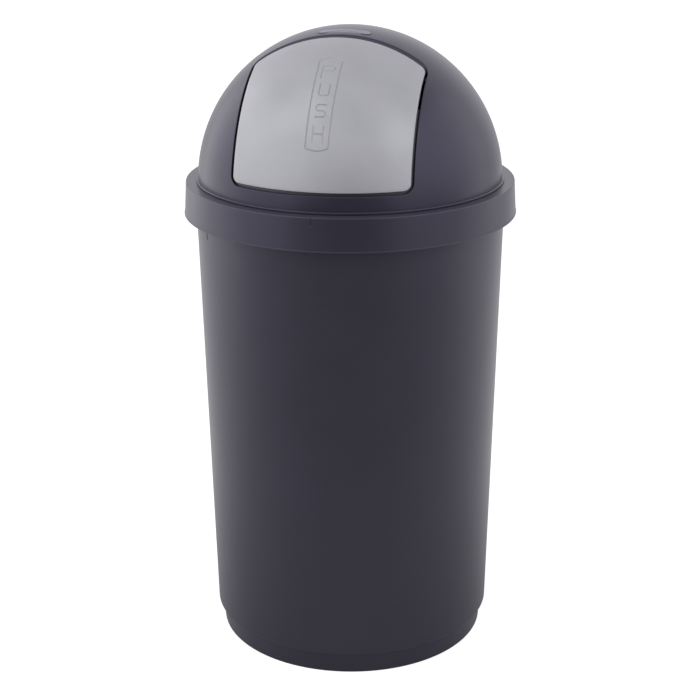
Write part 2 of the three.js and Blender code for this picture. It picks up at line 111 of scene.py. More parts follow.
# Joins a grid of points into four-sided faces. A side that wraps is joined end to start, and a
# first or last row that is one point becomes a fan.
def surface(grid, wrapRows=False, wrapColumns=True, firstPole=False, lastPole=False, closed=True):
    rows, columns = grid.shape[:2]
    index = np.arange(rows * columns).reshape(rows, columns)
    if firstPole:
        index[0] = index[0, 0]
    if lastPole:
        index[-1] = index[-1, 0]
    if wrapColumns:
        index = np.concatenate([index, index[:, :1]], axis=1)
    if wrapRows:
        index = np.concatenate([index, index[:1]], axis=0)
    quads = np.stack([index[:-1, :-1], index[1:, :-1], index[1:, 1:], index[:-1, 1:]], axis=-1)
    quads = quads.reshape(-1, 4)
    atFirst = quads[:, 0] == quads[:, 3]
    atLast = quads[:, 1] == quads[:, 2]
    triangles = np.concatenate([quads[atFirst][:, [0, 1, 2]], quads[atLast][:, [0, 1, 3]]])
    quads = quads[~(atFirst | atLast)]
    used, corners = np.unique(np.concatenate([quads.ravel(), triangles.ravel()]), return_inverse=True)
    points = grid.reshape(-1, 3)[used]
    quads, triangles = corners[: quads.size].reshape(-1, 4), corners[quads.size:].reshape(-1, 3)
    return facingOut((points, quads, triangles)) if closed else (points, quads, triangles)


# A surface of loops in a row, closed at each end by a fan to the middle of that end's loop.
def capped(loops):
    first, last = (np.broadcast_to(loops[k].mean(0), (1, *loops.shape[1:])) for k in (0, -1))
    return surface(np.concatenate([first, loops, last]), firstPole=True, lastPole=True)


# Turns the faces of a closed surface outwards by the sign of its volume, which is a sixth of the
# sum of a . (b x c) over its triangles.
def facingOut(part):
    points, quads, triangles = part
    every = np.concatenate([quads[:, [0, 1, 2]], quads[:, [0, 2, 3]], triangles])
    a, b, c = (points[every[:, k]] for k in range(3))
    if (a * np.cross(b, c)).sum() < 0:
        quads, triangles = quads[:, ::-1], triangles[:, ::-1]
    return points, quads, triangles


# Points from their radius, angle and height. The angle is measured round the Z axis from the
# front towards +X, so x = r sin a and y = -r cos a.
def upright(radius, angles, height):
    return np.stack([radius * np.sin(angles), -radius * np.cos(angles), height + 0 * angles], axis=-1)


# Turns a profile of [radius, height] round the Z axis.
def turned(profile, angles):
    radius, height = np.asarray(profile, float).T[:, :, None]
    return upright(radius, angles, height)


# Even angles all round, 2 pi k / steps.
def around(steps):
    return np.linspace(0, 2 * math.pi, steps, endpoint=False)


# Goes from 0 to 1 as the value does, and is level at both ends: 3 v^2 - 2 v^3.
def smoothStep(value):
    value = np.clip(value, 0, 1)
    return value * value * (3 - 2 * value)


# Puts parts of (points, quads, triangles) one after the other.
def joined(parts):
    starts = np.cumsum([0] + [len(p[0]) for p in parts[:-1]])
    points = np.concatenate([p[0] for p in parts])
    quads, triangles = (np.concatenate([p[k] + s for p, s in zip(parts, starts)]) for k in (1, 2))
    return points, quads, triangles


# Writes parts into one mesh at the origin, which stands for a node of the frame.
def makePiece(name, parts, material, body, node):
    points, quads, triangles = joined(parts)
    mesh = bpy.data.meshes.new(name)
    mesh.vertices.add(len(points))
    mesh.vertices.foreach_set("co", (points * mm).astype(np.float32).ravel())
    corners = np.concatenate([quads.ravel(), triangles.ravel()]).astype(np.int32)
    mesh.loops.add(len(corners))
    mesh.loops.foreach_set("vertex_index", corners)
    faceStarts = np.concatenate([np.arange(len(quads)) * 4, 4 * len(quads) + np.arange(len(triangles)) * 3])
    mesh.polygons.add(len(faceStarts))
    mesh.polygons.foreach_set("loop_start", faceStarts.astype(np.int32))
    mesh.update(calc_edges=True)
    mesh.validate()
    mesh.polygons.foreach_set("use_smooth", np.ones(len(faceStarts), bool))
    mesh.set_sharp_from_angle(angle=math.radians(sharpAngle))
    mesh.materials.append(material)
    made = bpy.data.objects.new(name, mesh)
    bpy.context.scene.collection.objects.link(made)
    if body:
        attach(made, body)
    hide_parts(node)
    print(name, "made:", len(quads) * 2 + len(triangles), "triangles")
    return made


class Nodes:
    # The node tree of a material or of the room, with short calls to add and join nodes.
    def __init__(self, owner, shader="Principled BSDF"):
        owner.use_nodes = True
        self.material = owner
        self.tree = owner.node_tree
        self.shader = self.tree.nodes[shader]
        self.coordinates = self.add("ShaderNodeTexCoord")
        self.place = self.coordinates.outputs["Object"]

    def add(self, kind, **values):
        node = self.tree.nodes.new(kind)
        for key, value in values.items():
            setattr(node, key, value)
        return node

    # Joins a socket to another one, or sets that one to a number or a colour.
    def give(self, value, target):
        if isinstance(value, bpy.types.NodeSocket):
            self.tree.links.new(value, target)
        else:
            target.default_value = value

    # Gives values to the shader's sockets, whose names have spaces for the underlines.
    def set(self, **values):
        for key, value in values.items():
            self.give(value, self.shader.inputs[key.replace("_", " ")])

    # Works out numbers, each a socket or a number, in the order of the node's own sockets.
    def maths(self, operation, *values):
        node = self.add("ShaderNodeMath", operation=operation)
        for value, socket in zip(values, node.inputs):
            self.give(value, socket)
        return node.outputs[0]

    # The same for places and directions. A length and a dot product come out as numbers.
    def vectorMaths(self, operation, *values):
        node = self.add("ShaderNodeVectorMath", operation=operation)
        for value, socket in zip(values, node.inputs):
            self.give(value, socket)
        return node.outputs["Value" if operation in ("LENGTH", "DOT_PRODUCT") else "Vector"]

    # The x, y and z of a place or direction.
    def separated(self, value):
        node = self.add("ShaderNodeSeparateXYZ")
        self.give(value, node.inputs[0])
        return node.outputs

    # Noise at a grain size in millimetres; the place is divided by the size.
    def noise(self, size, detail=2.0, roughness=0.5, place=None):
        node = self.add("ShaderNodeTexNoise")
        node.inputs["Scale"].default_value = 1 / (size * mm)
        node.inputs["Detail"].default_value = detail
        node.inputs["Roughness"].default_value = roughness
        self.give(place or self.place, node.inputs["Vector"])
        return node.outputs["Fac"]

    # Takes a value from one range to another.
    def ranged(self, value, low, high, toLow, toHigh, curve="LINEAR"):
        node = self.add("ShaderNodeMapRange", interpolation_type=curve)
        for key, number in zip(("From Min", "From Max", "To Min", "To Max"), (low, high, toLow, toHigh)):
            node.inputs[key].default_value = number
        self.give(value, node.inputs["Value"])
        return node.outputs["Result"]

    # Mixes two colours by a value.
    def mixed(self, value, first, second):
        node = self.add("ShaderNodeMix", data_type="RGBA")
        for given, socket in ((value, node.inputs[0]), (first, node.inputs[6]), (second, node.inputs[7])):
            self.give(given, socket)
        return node.outputs[2]

    # Chooses between two numbers by a value of 0 or 1.
    def either(self, value, first, second):
        node = self.add("ShaderNodeMix")
        for given, socket in ((value, node.inputs[0]), (first, node.inputs[2]), (second, node.inputs[3])):
            self.give(given, socket)
        return node.outputs[0]

    # Raises the surface by a value of 0 to 1, the distance in millimetres being its full height.
    def bump(self, height, distance, normal=None):
        node = self.add("ShaderNodeBump")
        node.inputs["Strength"].default_value = 1.0
        node.inputs["Distance"].default_value = distance * mm
        self.give(height, node.inputs["Height"])
        if normal is not None:
            self.give(normal, node.inputs["Normal"])
        return node.outputs["Normal"]


# A colour of 0 to 255 levels, as a screen shows it, in the shader's linear values: v / 12.92 in
# the darks, and ((v + 0.055) / 1.055) to the power of 2.4 above them.
def linear(red, green, blue):
    value = np.array([red, green, blue]) / 255
    value = np.where(value < 0.04045, value / 12.92, ((value + 0.055) / 1.055) ** 2.4)
    return (*(float(v) for v in value), 1.0)


broadNoise = (0.3, 0.7)     # nearly all values of a broad noise
fineNoise = (0.25, 0.75)    # nearly all values of a fine one


# Moulded plastic: two close tones mixed by broad noise, a fine grain in roughness and bump, and
# a slow waviness of the wall, as a mould leaves it.
def mouldedPlastic(name, settings):
    n = Nodes(bpy.data.materials.new(name))
    tone = n.ranged(n.noise(settings["mottleSize"], 3), *broadNoise, 0, 1)
    grain = n.noise(settings["grainSize"], 2, 0.6)
    wave = n.bump(n.noise(settings["waveSize"], 1), settings["waveHeight"])
    tint = (*settings["tint"], 1)
    n.set(Base_Color=n.mixed(tone, linear(*settings["dark"]), linear(*settings["light"])))
    n.set(Roughness=n.ranged(grain, *fineNoise, *settings["roughness"]))
    n.set(Normal=n.bump(grain, settings["grainHeight"], wave))
    n.set(IOR=settings["ior"], Specular_IOR_Level=settings["specular"], Specular_Tint=tint)
    n.set(Sheen_Weight=settings["sheen"], Sheen_Roughness=settings["sheenRoughness"], Sheen_Tint=tint)
    return n


# What the moulded plastics share. Tones are 0 to 255 levels, and sizes and heights are in mm.
plastic = {"grainSize": 0.5, "ior": 1.5, "tint": (0.76, 0.73, 1.0), "sheen": 0.1, "sheenRoughness": 0.4}

bodyFinish = {
    **plastic, "dark": (44, 43, 51), "light": (47, 46, 55), "mottleSize": 60, "grainHeight": 0.015,
    "roughness": (0.28, 0.35), "waveSize": 90, "waveHeight": 0.12, "specular": 0.57,
}
collarFinish = {
    **plastic, "dark": (39, 38, 48), "light": (42, 41, 52), "mottleSize": 40, "grainHeight": 0.01,
    "roughness": (0.3, 0.36), "waveSize": 60, "waveHeight": 0.06, "specular": 0.6,
}
domeFinish = {
    **plastic, "dark": (38, 36, 46), "light": (41, 39, 50), "mottleSize": 50, "grainHeight": 0.012,
    "roughness": (0.28, 0.35), "waveSize": 70, "waveHeight": 0.08, "specular": 0.52,
    "tint": (0.74, 0.7, 1.0), "sheen": 0.14,
}
bracketFinish = {
    **plastic, "dark": (30, 30, 33), "light": (36, 36, 40), "mottleSize": 12, "grainSize": 0.35,
    "grainHeight": 0.02, "roughness": (0.45, 0.55), "waveSize": 25, "waveHeight": 0.05, "specular": 0.5,
    "tint": (1.0, 1.0, 1.0), "sheen": 0.0,
}

# The bare pad on the dome's crown, a bar with round ends as seen from above
pad = {
    "half": (30.5, 7.0), "centre": -25.0, "height": 0.4, "rim": 0.1, "rimStart": 0.3, "rimEnd": 0.9,
    "top": (1.2, 2.0), "sunk": 0.8, "round": 0.98, "innerRings": (0.6, 0.3),
    # tone is the colour of the pad's painted highlight, standing in for the glints of its raised letters
    "tone": (118, 115, 128), "highlightInset": (1.1, 1.5), "highlightHeight": (700, 710),
}


# Paints a highlight on the pad: a paler tone that stands in for the glints of the badge's raised letters,
# which are not modelled. The pad is the set of places less than its half width from a line.
# The distance from the line is the length of (|x| - half, y), with no first part below 0.
def padPaintedHighlight(n):
    placed = n.vectorMaths("SUBTRACT", n.place, (0, pad["centre"] * mm, 0))
    x, y, z = n.separated(placed)
    halfLength, halfWidth = pad["half"]
    flat = n.add("ShaderNodeCombineXYZ")
    beyond = n.maths("SUBTRACT", n.maths("ABSOLUTE", x), (halfLength - halfWidth) * mm)
    n.give(n.maths("MAXIMUM", beyond, 0), flat.inputs["X"])
    n.give(y, flat.inputs["Y"])
    distance = n.vectorMaths("LENGTH", flat.outputs[0])
    near, far = pad["highlightInset"]
    inside = n.ranged(distance, (halfWidth - far) * mm, (halfWidth - near) * mm, 1, 0)
    low, high = pad["highlightHeight"]
    onTop = n.ranged(z, low * mm, high * mm, 0, 1)
    # the painted highlight is mixed into the dome's plain colour on the pad
    plain = n.shader.inputs["Base Color"].links[0].from_socket
    n.set(Base_Color=n.mixed(n.maths("MULTIPLY", inside, onTop), plain, linear(*pad["tone"])))


# Silver finish: fine metal flake on the outer face, where each flake is a small cell with a brightness of its
# own. From a little way below the face, by the distance from the middle of the ball, the lip and inner side
# are painted a dark shade, which makes the gap round the flap read dark.
def silverPlastic(name, settings):
    n = Nodes(bpy.data.materials.new(name))
    cells = n.add("ShaderNodeTexVoronoi")
    cells.inputs["Scale"].default_value = 1 / (settings["flakeSize"] * mm)
    n.give(n.place, cells.inputs["Vector"])
    sparkle = n.ranged(cells.outputs["Color"], 0, 1, 0, 1)  # one number for each flake
    broad = n.ranged(n.noise(settings["mottleSize"], 2), *broadNoise, 0, 1)
    base = n.mixed(broad, linear(*settings["dark"]), linear(*settings["light"]))
    brighter = n.mixed(broad, linear(*settings["flakeDark"]), linear(*settings["flakeLight"]))
    radius = n.vectorMaths("LENGTH", n.vectorMaths("SUBTRACT", n.place, (0, 0, ball["centre"] * mm)))
    edge, fade = (ball["radius"] - settings["faceDepth"]) * mm, settings["faceFade"] * mm
    # below the face the flap is painted a dark shade, so that the gap round it reads dark
    onFace = n.ranged(radius, edge - fade, edge + fade, 0, 1)
    n.set(Base_Color=n.mixed(onFace, linear(*settings["under"]), n.mixed(sparkle, base, brighter)))
    n.set(Metallic=n.maths("MULTIPLY", onFace, settings["metallic"]))
    n.set(Roughness=n.ranged(sparkle, 0, 1, *settings["roughness"]))
    n.set(Normal=n.bump(n.noise(settings["waveSize"], 1), settings["waveHeight"]))
    return n.material


flapFinish = {
    "dark": (158, 158, 165), "light": (160, 160, 167), "mottleSize": 45,
    "flakeDark": (164, 164, 171), "flakeLight": (174, 174, 181), "flakeSize": 0.25,
    # under is the dark colour painted as shade on the lip and the inner side
    "under": (40, 37, 50), "faceDepth": 1.3, "faceFade": 0.15,
    "roughness": (0.34, 0.42), "waveSize": 60, "waveHeight": 0.004, "metallic": 0.2,
}


# Metal: a base tone with darker drawn streaks along X, which roughness and bump follow.
def drawnMetal(name, settings):
    n = Nodes(bpy.data.materials.new(name))
    along = n.vectorMaths("MULTIPLY", n.place, (settings["streak"], 1, 1))
    streaks = n.noise(settings["streakSize"], 2, 0.6, along)
    tone = n.ranged(n.noise(settings["mottleSize"], 3), *broadNoise, 0, 1)
    base = n.mixed(tone, linear(*settings["dark"]), linear(*settings["light"]))
    shade = n.ranged(streaks, *broadNoise, 0, settings["streakTone"])
    n.set(Base_Color=n.mixed(shade, base, linear(*settings["stain"])), Metallic=1.0)
    n.set(Roughness=n.ranged(streaks, *broadNoise, *settings["roughness"]))
    n.set(Normal=n.bump(streaks, settings["streakHeight"]))
    return n.material


zincFinish = {
    "dark": (196, 198, 200), "light": (214, 215, 214), "stain": (150, 152, 156), "mottleSize": 2.5,
    "streak": 1.0, "streakSize": 0.6, "streakTone": 0.5, "streakHeight": 0.01, "roughness": (0.28, 0.42),
}
springFinish = {
    "dark": (138, 140, 144), "light": (160, 162, 165), "stain": (96, 98, 104), "mottleSize": 3.5,
    "streak": 0.4, "streakSize": 0.4, "streakTone": 0.5, "streakHeight": 0.006, "roughness": (0.26, 0.38),
}

bodyPlastic = mouldedPlastic("body plastic", bodyFinish).material
collarPlastic = mouldedPlastic("collar plastic", collarFinish).material
domeNodes = mouldedPlastic("dome plastic", domeFinish)
padPaintedHighlight(domeNodes)
domePlastic = domeNodes.material
bracketPlastic = mouldedPlastic("bracket plastic", bracketFinish).material
flapSilver = silverPlastic("flap silver", flapFinish)
zincSteel = drawnMetal("zinc plated steel", zincFinish)
springSteel = drawnMetal("spring steel", springFinish)
print("materials made")


bucket = {
    "height": 561.0, "rimRadius": 179.4, "stepRadius": 168.7, "wall": 2.5,
    "footTop": 163.2, "footBottom": 161.5, "footHeight": 28.9, "footRing": 148.0, "footSlope": 3.5,
    "stepStart": 1.6, "stepEnd": 0.9, "innerStep": 1.0,   # each mm below the foot's height
    "floor": 6.0, "floorThickness": 2.5, "flat": (20, 22),
    "lipReach": 4.6, "lipThickness": 3.0, "steps": 256,
}

# Two upright ribs on the body, on opposite sides
rib = {
    "angle": -52.3, "bottom": 507.9, "top": 545.9, "width": 1.4, "reach": 0.5, "columns": 13, "rows": 41,
    "endShare": 0.04, "sunk": 0.35, "rise": 0.25, "depth": 1.2, "squareness": 6,
}


# Outside radius of the tapered body: a straight line between the step and the rim.
def bodyRadius(z):
    slope = (bucket["rimRadius"] - bucket["stepRadius"]) / (bucket["height"] - bucket["footHeight"])
    return bucket["stepRadius"] + slope * (z - bucket["footHeight"])


# A bar of rounded-square section that leans with the body: across it, at u from -1 to 1, it
# stands out by the reach times 1 - u^6, and both of its ends run out to nothing.
def bodyRib(angle):
    across = np.linspace(-1, 1, rib["columns"])
    up = np.linspace(0, 1, rib["rows"])[:, None]
    z = rib["bottom"] + (rib["top"] - rib["bottom"]) * up
    ends = smoothStep(up / rib["endShare"]) * smoothStep((1 - up) / rib["endShare"])
    out = rib["reach"] * (1 - across ** rib["squareness"]) * ends
    turn = math.radians(angle) + across * rib["width"] / 2 / bucket["rimRadius"]
    top = upright(bodyRadius(z) - rib["sunk"] + out + rib["rise"] * ends, turn, z)
    under = upright(bodyRadius(z) - rib["depth"] + 0 * across, turn, z)
    return capped(np.concatenate([top, under[:, ::-1]], axis=1))


# The bucket's section is a line of (radius, height, round) corners, from the middle of its
# underside over the foot, the step and the rim to the middle of the floor.
def bucketParts():
    b = bucket
    floor, wall, foot = b["floor"], b["wall"], b["footHeight"]
    floorTop = floor + b["floorThickness"]
    lipBottom = b["height"] - b["lipThickness"]
    lipRadius = b["rimRadius"] + b["lipReach"]
    line = [
        (0, floor, 0),
        (b["flat"][0], floor, 0.5),
        (b["footRing"] - b["footSlope"], floor, 1.0),
        (b["footRing"], 0, 0.6),
        (b["footBottom"], 0, 1.6),
        (b["footTop"], foot - b["stepStart"], 1.1),
        (b["stepRadius"], foot - b["stepEnd"], 0.9),
        (bodyRadius(lipBottom), lipBottom, 0.6),
        (lipRadius, lipBottom, 0.8),
        (lipRadius, b["height"], 0.9),
        (b["rimRadius"] - wall, b["height"], 0.7),
        (bodyRadius(foot) - wall, foot + wall, 2.5),
        (b["footTop"] - wall, foot - b["innerStep"], 1.5),
        (b["footBottom"] - wall, floorTop, 4.0),
        (b["flat"][1], floorTop, 0.5),
        (0, floorTop, 0),
    ]
    profile = roundedLine(line, steps=5, closed=False)
    body = surface(turned(profile, around(b["steps"])), firstPole=True, lastPole=True)
    return [body, bodyRib(rib["angle"]), bodyRib(rib["angle"] + 180)]


makePiece("bin_bucket", bucketParts(), bodyPlastic, "bin", "bucket")


collar = {
    "top": 563.7, "topRadius": 190.0, "bottomRadius": 192.3, "depth": 37.7, "wall": 2.4,
    "skirtOuter": 176.2, "skirtInner": 174.0, "skirtDepth": 16.0, "edgeRound": 1.2,
    "lipReach": 0.55, "lipHeight": 1.25, "lipShadow": 0.4, "lipSunk": 0.05,
    "ribs": 12, "ribWidth": 2.0, "ribDepth": 20.0, "ribInner": 184.3, "ribFoot": 1.4, "ribTaper": 5,
    "ribSunkTop": 0.8, "ribSunkSide": 1.0, "ribRound": 0.35,
    "markWidth": 1.2, "markHeight": 8.0, "markDepth": 0.5, "markSlope": 0.3, "markEndSlope": 0.6,
    "slotHalf": 4.5, "slotRadius": 175.6, "near": 0.05,
    "faceFrom": 188.5,              # beyond this radius is the band's outer face
    "markRows": (0.8, 0.3, -0.3, -0.8), "markClear": 2,     # mm above the mark's end
    "fineSteps": (0.1, 0.3, 0.45, 0.6, 0.75, 1.0, 2.0, 4.2, 4.5, 4.7, 5.5),     # mm from the front
    "evenFrom": 7.5, "steps": 240,
}


# Angles all round with a few more near the front, where the mark and the key's slot are cut.
def collarAngles():
    fine = np.array(collar["fineSteps"]) / collar["topRadius"]
    start = collar["evenFrom"] / collar["topRadius"]
    even = np.linspace(start, 2 * math.pi - start, collar["steps"])
    return np.concatenate([fine, even, 2 * math.pi - fine[::-1]])


# The collar's section, turned round and then cut: the mark moves the band's outer face in, and
# the slot for the dome's key moves the skirt's inner face out.
def collarParts():
    c = collar
    bottom = c["top"] - c["depth"]
    under = c["top"] - c["wall"]
    skirtBottom = c["top"] - c["skirtDepth"]
    lip = c["bottomRadius"] + c["lipReach"]
    line = [
        (c["skirtInner"], skirtBottom, 0.7),
        (c["skirtOuter"], skirtBottom, 0.7),
        (c["skirtOuter"], under, 1.0),
        (c["topRadius"] - c["wall"], under, 1.4),
        (c["bottomRadius"] - c["wall"], bottom, 0.8),
        (lip, bottom, 0.5),
        (lip, bottom + c["lipHeight"], 0.55),
        (c["bottomRadius"] - c["lipSunk"], bottom + c["lipHeight"] + c["lipShadow"], 0.15),
        (c["topRadius"], c["top"], c["edgeRound"]),
        (c["skirtInner"], c["top"], 0.6),
    ]
    profile = roundedLine(line, steps=5)
    # more rows on the band where the mark ends
    markEnd = c["top"] - c["edgeRound"] - c["markHeight"]
    height = markEnd + np.array(c["markRows"])
    slope = (c["bottomRadius"] - c["topRadius"]) / c["depth"]
    below, above = profile[:-1, 1] < markEnd - c["markClear"], profile[1:, 1] > markEnd + c["markClear"]
    onBand = np.argmax(below & above & (profile[1:, 0] > c["faceFrom"])) + 1
    band = np.column_stack([c["topRadius"] + (c["top"] - height) * slope, height])
    profile = np.insert(profile, onBand, band[::-1], axis=0)
    angles = collarAngles()
    grid = turned(profile, angles)
    radius, height = np.linalg.norm(grid[..., :2], axis=-1), grid[..., 2]
    across = np.abs(radius * np.sin(angles))
    front = np.cos(angles) > 0
    mark = smoothStep((c["markWidth"] / 2 - across) / c["markSlope"] + 0.5)
    mark = mark * smoothStep((height - markEnd) / c["markEndSlope"] + 0.5) * front * (radius > c["faceFrom"])
    slot = (across < c["slotHalf"] + c["near"]) * front * (radius < c["skirtInner"] + c["near"])
    wanted = np.where(slot, c["slotRadius"], radius - c["markDepth"] * mark)
    grid[..., :2] *= (wanted / radius)[..., None]
    ribs = [collarRib((k + 0.5) * 2 * math.pi / c["ribs"]) for k in range(c["ribs"])]
    return [surface(grid, wrapRows=True), *ribs]


# A thin upright rib under the band: a rounded plate between the skirt's gap and the band's
# inside, tapering to nothing at its lower inner corner.
def collarRib(angle):
    c = collar
    under = c["top"] - c["wall"]
    top, low = under + c["ribSunkTop"], under - c["ribDepth"]
    outerTop = c["topRadius"] - c["wall"] + c["ribSunkSide"]
    outerLow = outerTop + (c["bottomRadius"] - c["topRadius"]) * c["ribDepth"] / c["depth"]
    corners = [(c["ribInner"], top, 0.3), (c["ribInner"], low + c["ribTaper"], 2.0),
               (outerLow - c["ribFoot"], low, 0.6), (outerLow, low, 0.3), (outerTop, top, 0.3)]
    edge = roundedLine(corners, steps=3, support=0.4)
    half = c["ribWidth"] / 2
    return plate(edge, -half, half, c["ribRound"], lambda u, v, w: (
        u * math.sin(angle) + w * math.cos(angle), -u * math.cos(angle) + w * math.sin(angle), v))


# A flat plate from an outline of [u, v] points, between depths w0 and w1. Its edges are quarter
# rounds: the outline moves in along its own normal by r (1 - sin a) as the depth goes out by
# r (1 - cos a). A hole, if there is one, has as many points as the outline.
def plate(edge, w0, w1, edgeRound, place, hole=None, steps=3):
    edge = np.asarray(edge, float)
    arc = np.linspace(0, math.pi / 2, steps + 1)
    inset, depth = edgeRound * (1 - np.sin(arc)), edgeRound * (1 - np.cos(arc))
    rows = [*zip(w0 + depth, inset), *zip(w1 - depth[::-1], inset[::-1])]

    def moved(line, rows, sign):
        return [np.column_stack([insetLine(line, sign * i), np.full(len(line), w)]) for w, i in rows]

    outer = moved(edge, rows, 1)
    if hole is None:
        first, last = (np.broadcast_to([*edge.mean(0), w], (len(edge), 3)) for w in (w0, w1))
        grid = np.stack([first, *outer, last])
    else:
        grid = np.stack([*outer, *moved(hole, rows[::-1], -1)])
    points = np.stack(place(grid[..., 0], grid[..., 1], grid[..., 2]), axis=-1)
    return surface(points, wrapRows=hole is not None, firstPole=hole is None, lastPole=hole is None)


# Where a plate's u, v and w go when it lies flat.
def flat(u, v, w):
    return u, v, w


# Where they go when it stands across the hinge, with its depth along the pin.
def acrossHinge(u, v, w):
    return w, u, v


# Moves a closed outline in by a distance along its own normals.
def insetLine(line, distance):
    along = np.roll(line, -1, axis=0) - np.roll(line, 1, axis=0)
    along /= np.linalg.norm(along, axis=1)[:, None] + 1e-12
    normal = np.column_stack([-along[:, 1], along[:, 0]])
    area = (line[:, 0] * np.roll(line[:, 1], -1) - line[:, 1] * np.roll(line[:, 0], -1)).sum()
    return line + normal * distance * np.sign(area)


makePiece("bin_collar", collarParts(), collarPlastic, "collar", "collar_ring")


# Points along the flap's outline on a ball of the given radius, grown by side, bottom and top.
# Its lower corners are round as seen from the front, so x and z are known and y follows from
# the ball. Its upper corners are round as seen from above, where y leans with the height, so z
# is the root of a quadratic. The sides run at even angles between them. Where there is a lip,
# the sides grow by upperSide above its top and by side below it.
def outlinePoints(radius, side, bottom, top, counts, upperSide=None, lipTop=None, lipFade=5.0):
    o = outline
    upperSide = side if upperSide is None else upperSide
    across, corner, up, over = counts  # for half of the outline
    zc = ball["centre"]

    def narrow(z, grown):
        return (o["halfWidth"] - o["narrowing"] * (z - o["bottom"]) + grown) / (o["halfWidth"] + grown)

    low = o["bottom"] - bottom
    lowCorner = max(o["bottomCorner"] + bottom, o["leastCorner"])
    half = o["halfWidth"] + side
    arc = np.linspace(-math.pi / 2, 0, corner + 1)[:-1]
    cornerX = half - lowCorner
    x = np.concatenate([np.linspace(0, cornerX, across + 1)[:-1], cornerX + lowCorner * np.cos(arc)])
    z = np.concatenate([np.full(across, low), low + lowCorner + lowCorner * np.sin(arc)])
    x = x * narrow(z, side)
    lower = np.column_stack([x, -np.sqrt(radius ** 2 - x ** 2 - (z - zc) ** 2), z])

    lean = o["topLean"]
    topAngle = math.radians(o["topAngle"])
    edgeY = -ball["radius"] * (math.sin(topAngle) + lean * math.cos(topAngle)) + top
    topCorner = max(o["topCorner"] + top, o["leastCorner"])
    arc = np.linspace(0, math.pi / 2, corner + 1)[:-1]
    cornerX = o["halfWidth"] + upperSide - topCorner
    x0 = np.concatenate([cornerX + topCorner * np.cos(arc), np.linspace(cornerX, 0, over + 1)])
    y0 = np.concatenate([edgeY - topCorner + topCorner * np.sin(arc), np.full(over + 1, edgeY)])
    rise = np.full(len(x0), 100.0)  # a first guess
    for _ in range(o["solveSteps"]):
        x = x0 * narrow(rise + zc, upperSide)
        inside = (lean * y0) ** 2 - (1 + lean ** 2) * (y0 ** 2 + x ** 2 - radius ** 2)
        rise = (-lean * y0 + np.sqrt(inside)) / (1 + lean ** 2)
    upper = np.column_stack([x, y0 + lean * rise, rise + zc])

    startRise = low + lowCorner - zc
    sideX = half * narrow(startRise + zc, side)
    startAngle = math.acos(startRise / math.sqrt(radius ** 2 - sideX ** 2))
    endAngle = math.atan2(-upper[0, 1], upper[0, 2] - zc)
    angle = np.linspace(startAngle, endAngle, up + 1)[:-1]
    z = np.full(up, zc + 80.0)  # a first guess
    for _ in range(o["solveSteps"]):
        share = 1.0 if lipTop is None else smoothStep((lipTop - z) / lipFade)
        grown = upperSide + (side - upperSide) * share
        x = o["halfWidth"] - o["narrowing"] * (z - o["bottom"]) + grown
        z = zc + np.sqrt(radius ** 2 - x ** 2) * np.cos(angle)
    y = -np.sqrt(radius ** 2 - x ** 2) * np.sin(angle)
    right = np.concatenate([lower, np.column_stack([x, y, z]), upper])
    left = right[1:-1][::-1] * [-1, 1, 1]
    return np.concatenate([right, left])


dome = {
    "gap": 2.8, "topGap": 7.4, "lowerGap": 3.6, "edgeRound": 0.8, "lowerSlope": 4.2,
    # a step in the opening's upper edge closes the gap further in
    "stepGap": 2.4, "stepRadius": 174.8, "stepRound": 0.15, "stepLean": 0.1, "stepFillet": 0.3,
    "base": 564.0, "beadRadius": 178.2, "beadHeight": 2.4, "innerRise": 1.2,
    "spigotOuter": 173.65, "spigotInner": 171.45, "spigotBottom": 545.7,
    "middleAngle": 48.0,        # middle of the opening, degrees down from the top
    "counts": (52, 10, 70, 50),
    "firstShares": (0, 0.006, 0.02), "evenShares": (0.045, 0.97, 44), "lastShares": (0.99, 1),
    "bossRadius": 4.5, "bossBottom": 679.05, "bossTop": 730, "bossTaper": 0.5, "bossSunk": 1.2,
    "pilotRadius": 1.65, "pilotTop": 685.85, "bossSteps": 32,
    "keyHalf": 4.0, "keyOuter": 175.25, "keyInner": 172.4, "keyTop": 564.6, "keyRound": 0.4,
}

# Where the hinge's parts meet, with the radius and the angle of the pin seen from the ball's middle
hinge = {
    "y": -37.92, "z": 684.15, "radius": 129.7, "angle": 17.0, "screwX": 105.19, "screwSpacing": 26.0,
    "earOuter": 89.09, "earInner": 84.09, "pinRadius": 2.5, "holeRadius": 2.75, "hubRadius": 6.5,
}


# The dome's skin in great circles that leave the middle of the opening: a point at angle w from
# that middle, in direction a, is cos w c + sin w (cos a e1 + sin a e2). Each circle starts at
# the opening's edge and ends at a level of the ball, where A cos w + B sin w = k.
def skinRows(start, radius, level, shares):
    tilt = math.radians(dome["middleAngle"])
    c = np.array([0, -math.sin(tilt), math.cos(tilt)])
    e1, e2 = np.array([1.0, 0, 0]), np.array([0, math.cos(tilt), math.sin(tilt)])
    unit = (start - [0, 0, ball["centre"]]) / radius
    direction = np.arctan2(unit @ e2, unit @ e1)
    first = np.arccos(np.clip(unit @ c, -1, 1))
    a, b = math.cos(tilt), np.sin(direction) * math.sin(tilt)
    last = np.arctan2(b, a) + np.arccos((level - ball["centre"]) / radius / np.hypot(a, b))
    angle = (first + (last - first) * np.asarray(shares)[:, None])[..., None]
    outwards = np.cos(direction)[:, None] * e1 + np.sin(direction)[:, None] * e2
    return radius * (np.cos(angle) * c + np.sin(angle) * outwards) + [0, 0, ball["centre"]]


# Radius of a ball's level circle: the root of r^2 - height^2.
def levelRadius(radius, z):
    return math.sqrt(radius ** 2 - (z - ball["centre"]) ** 2)


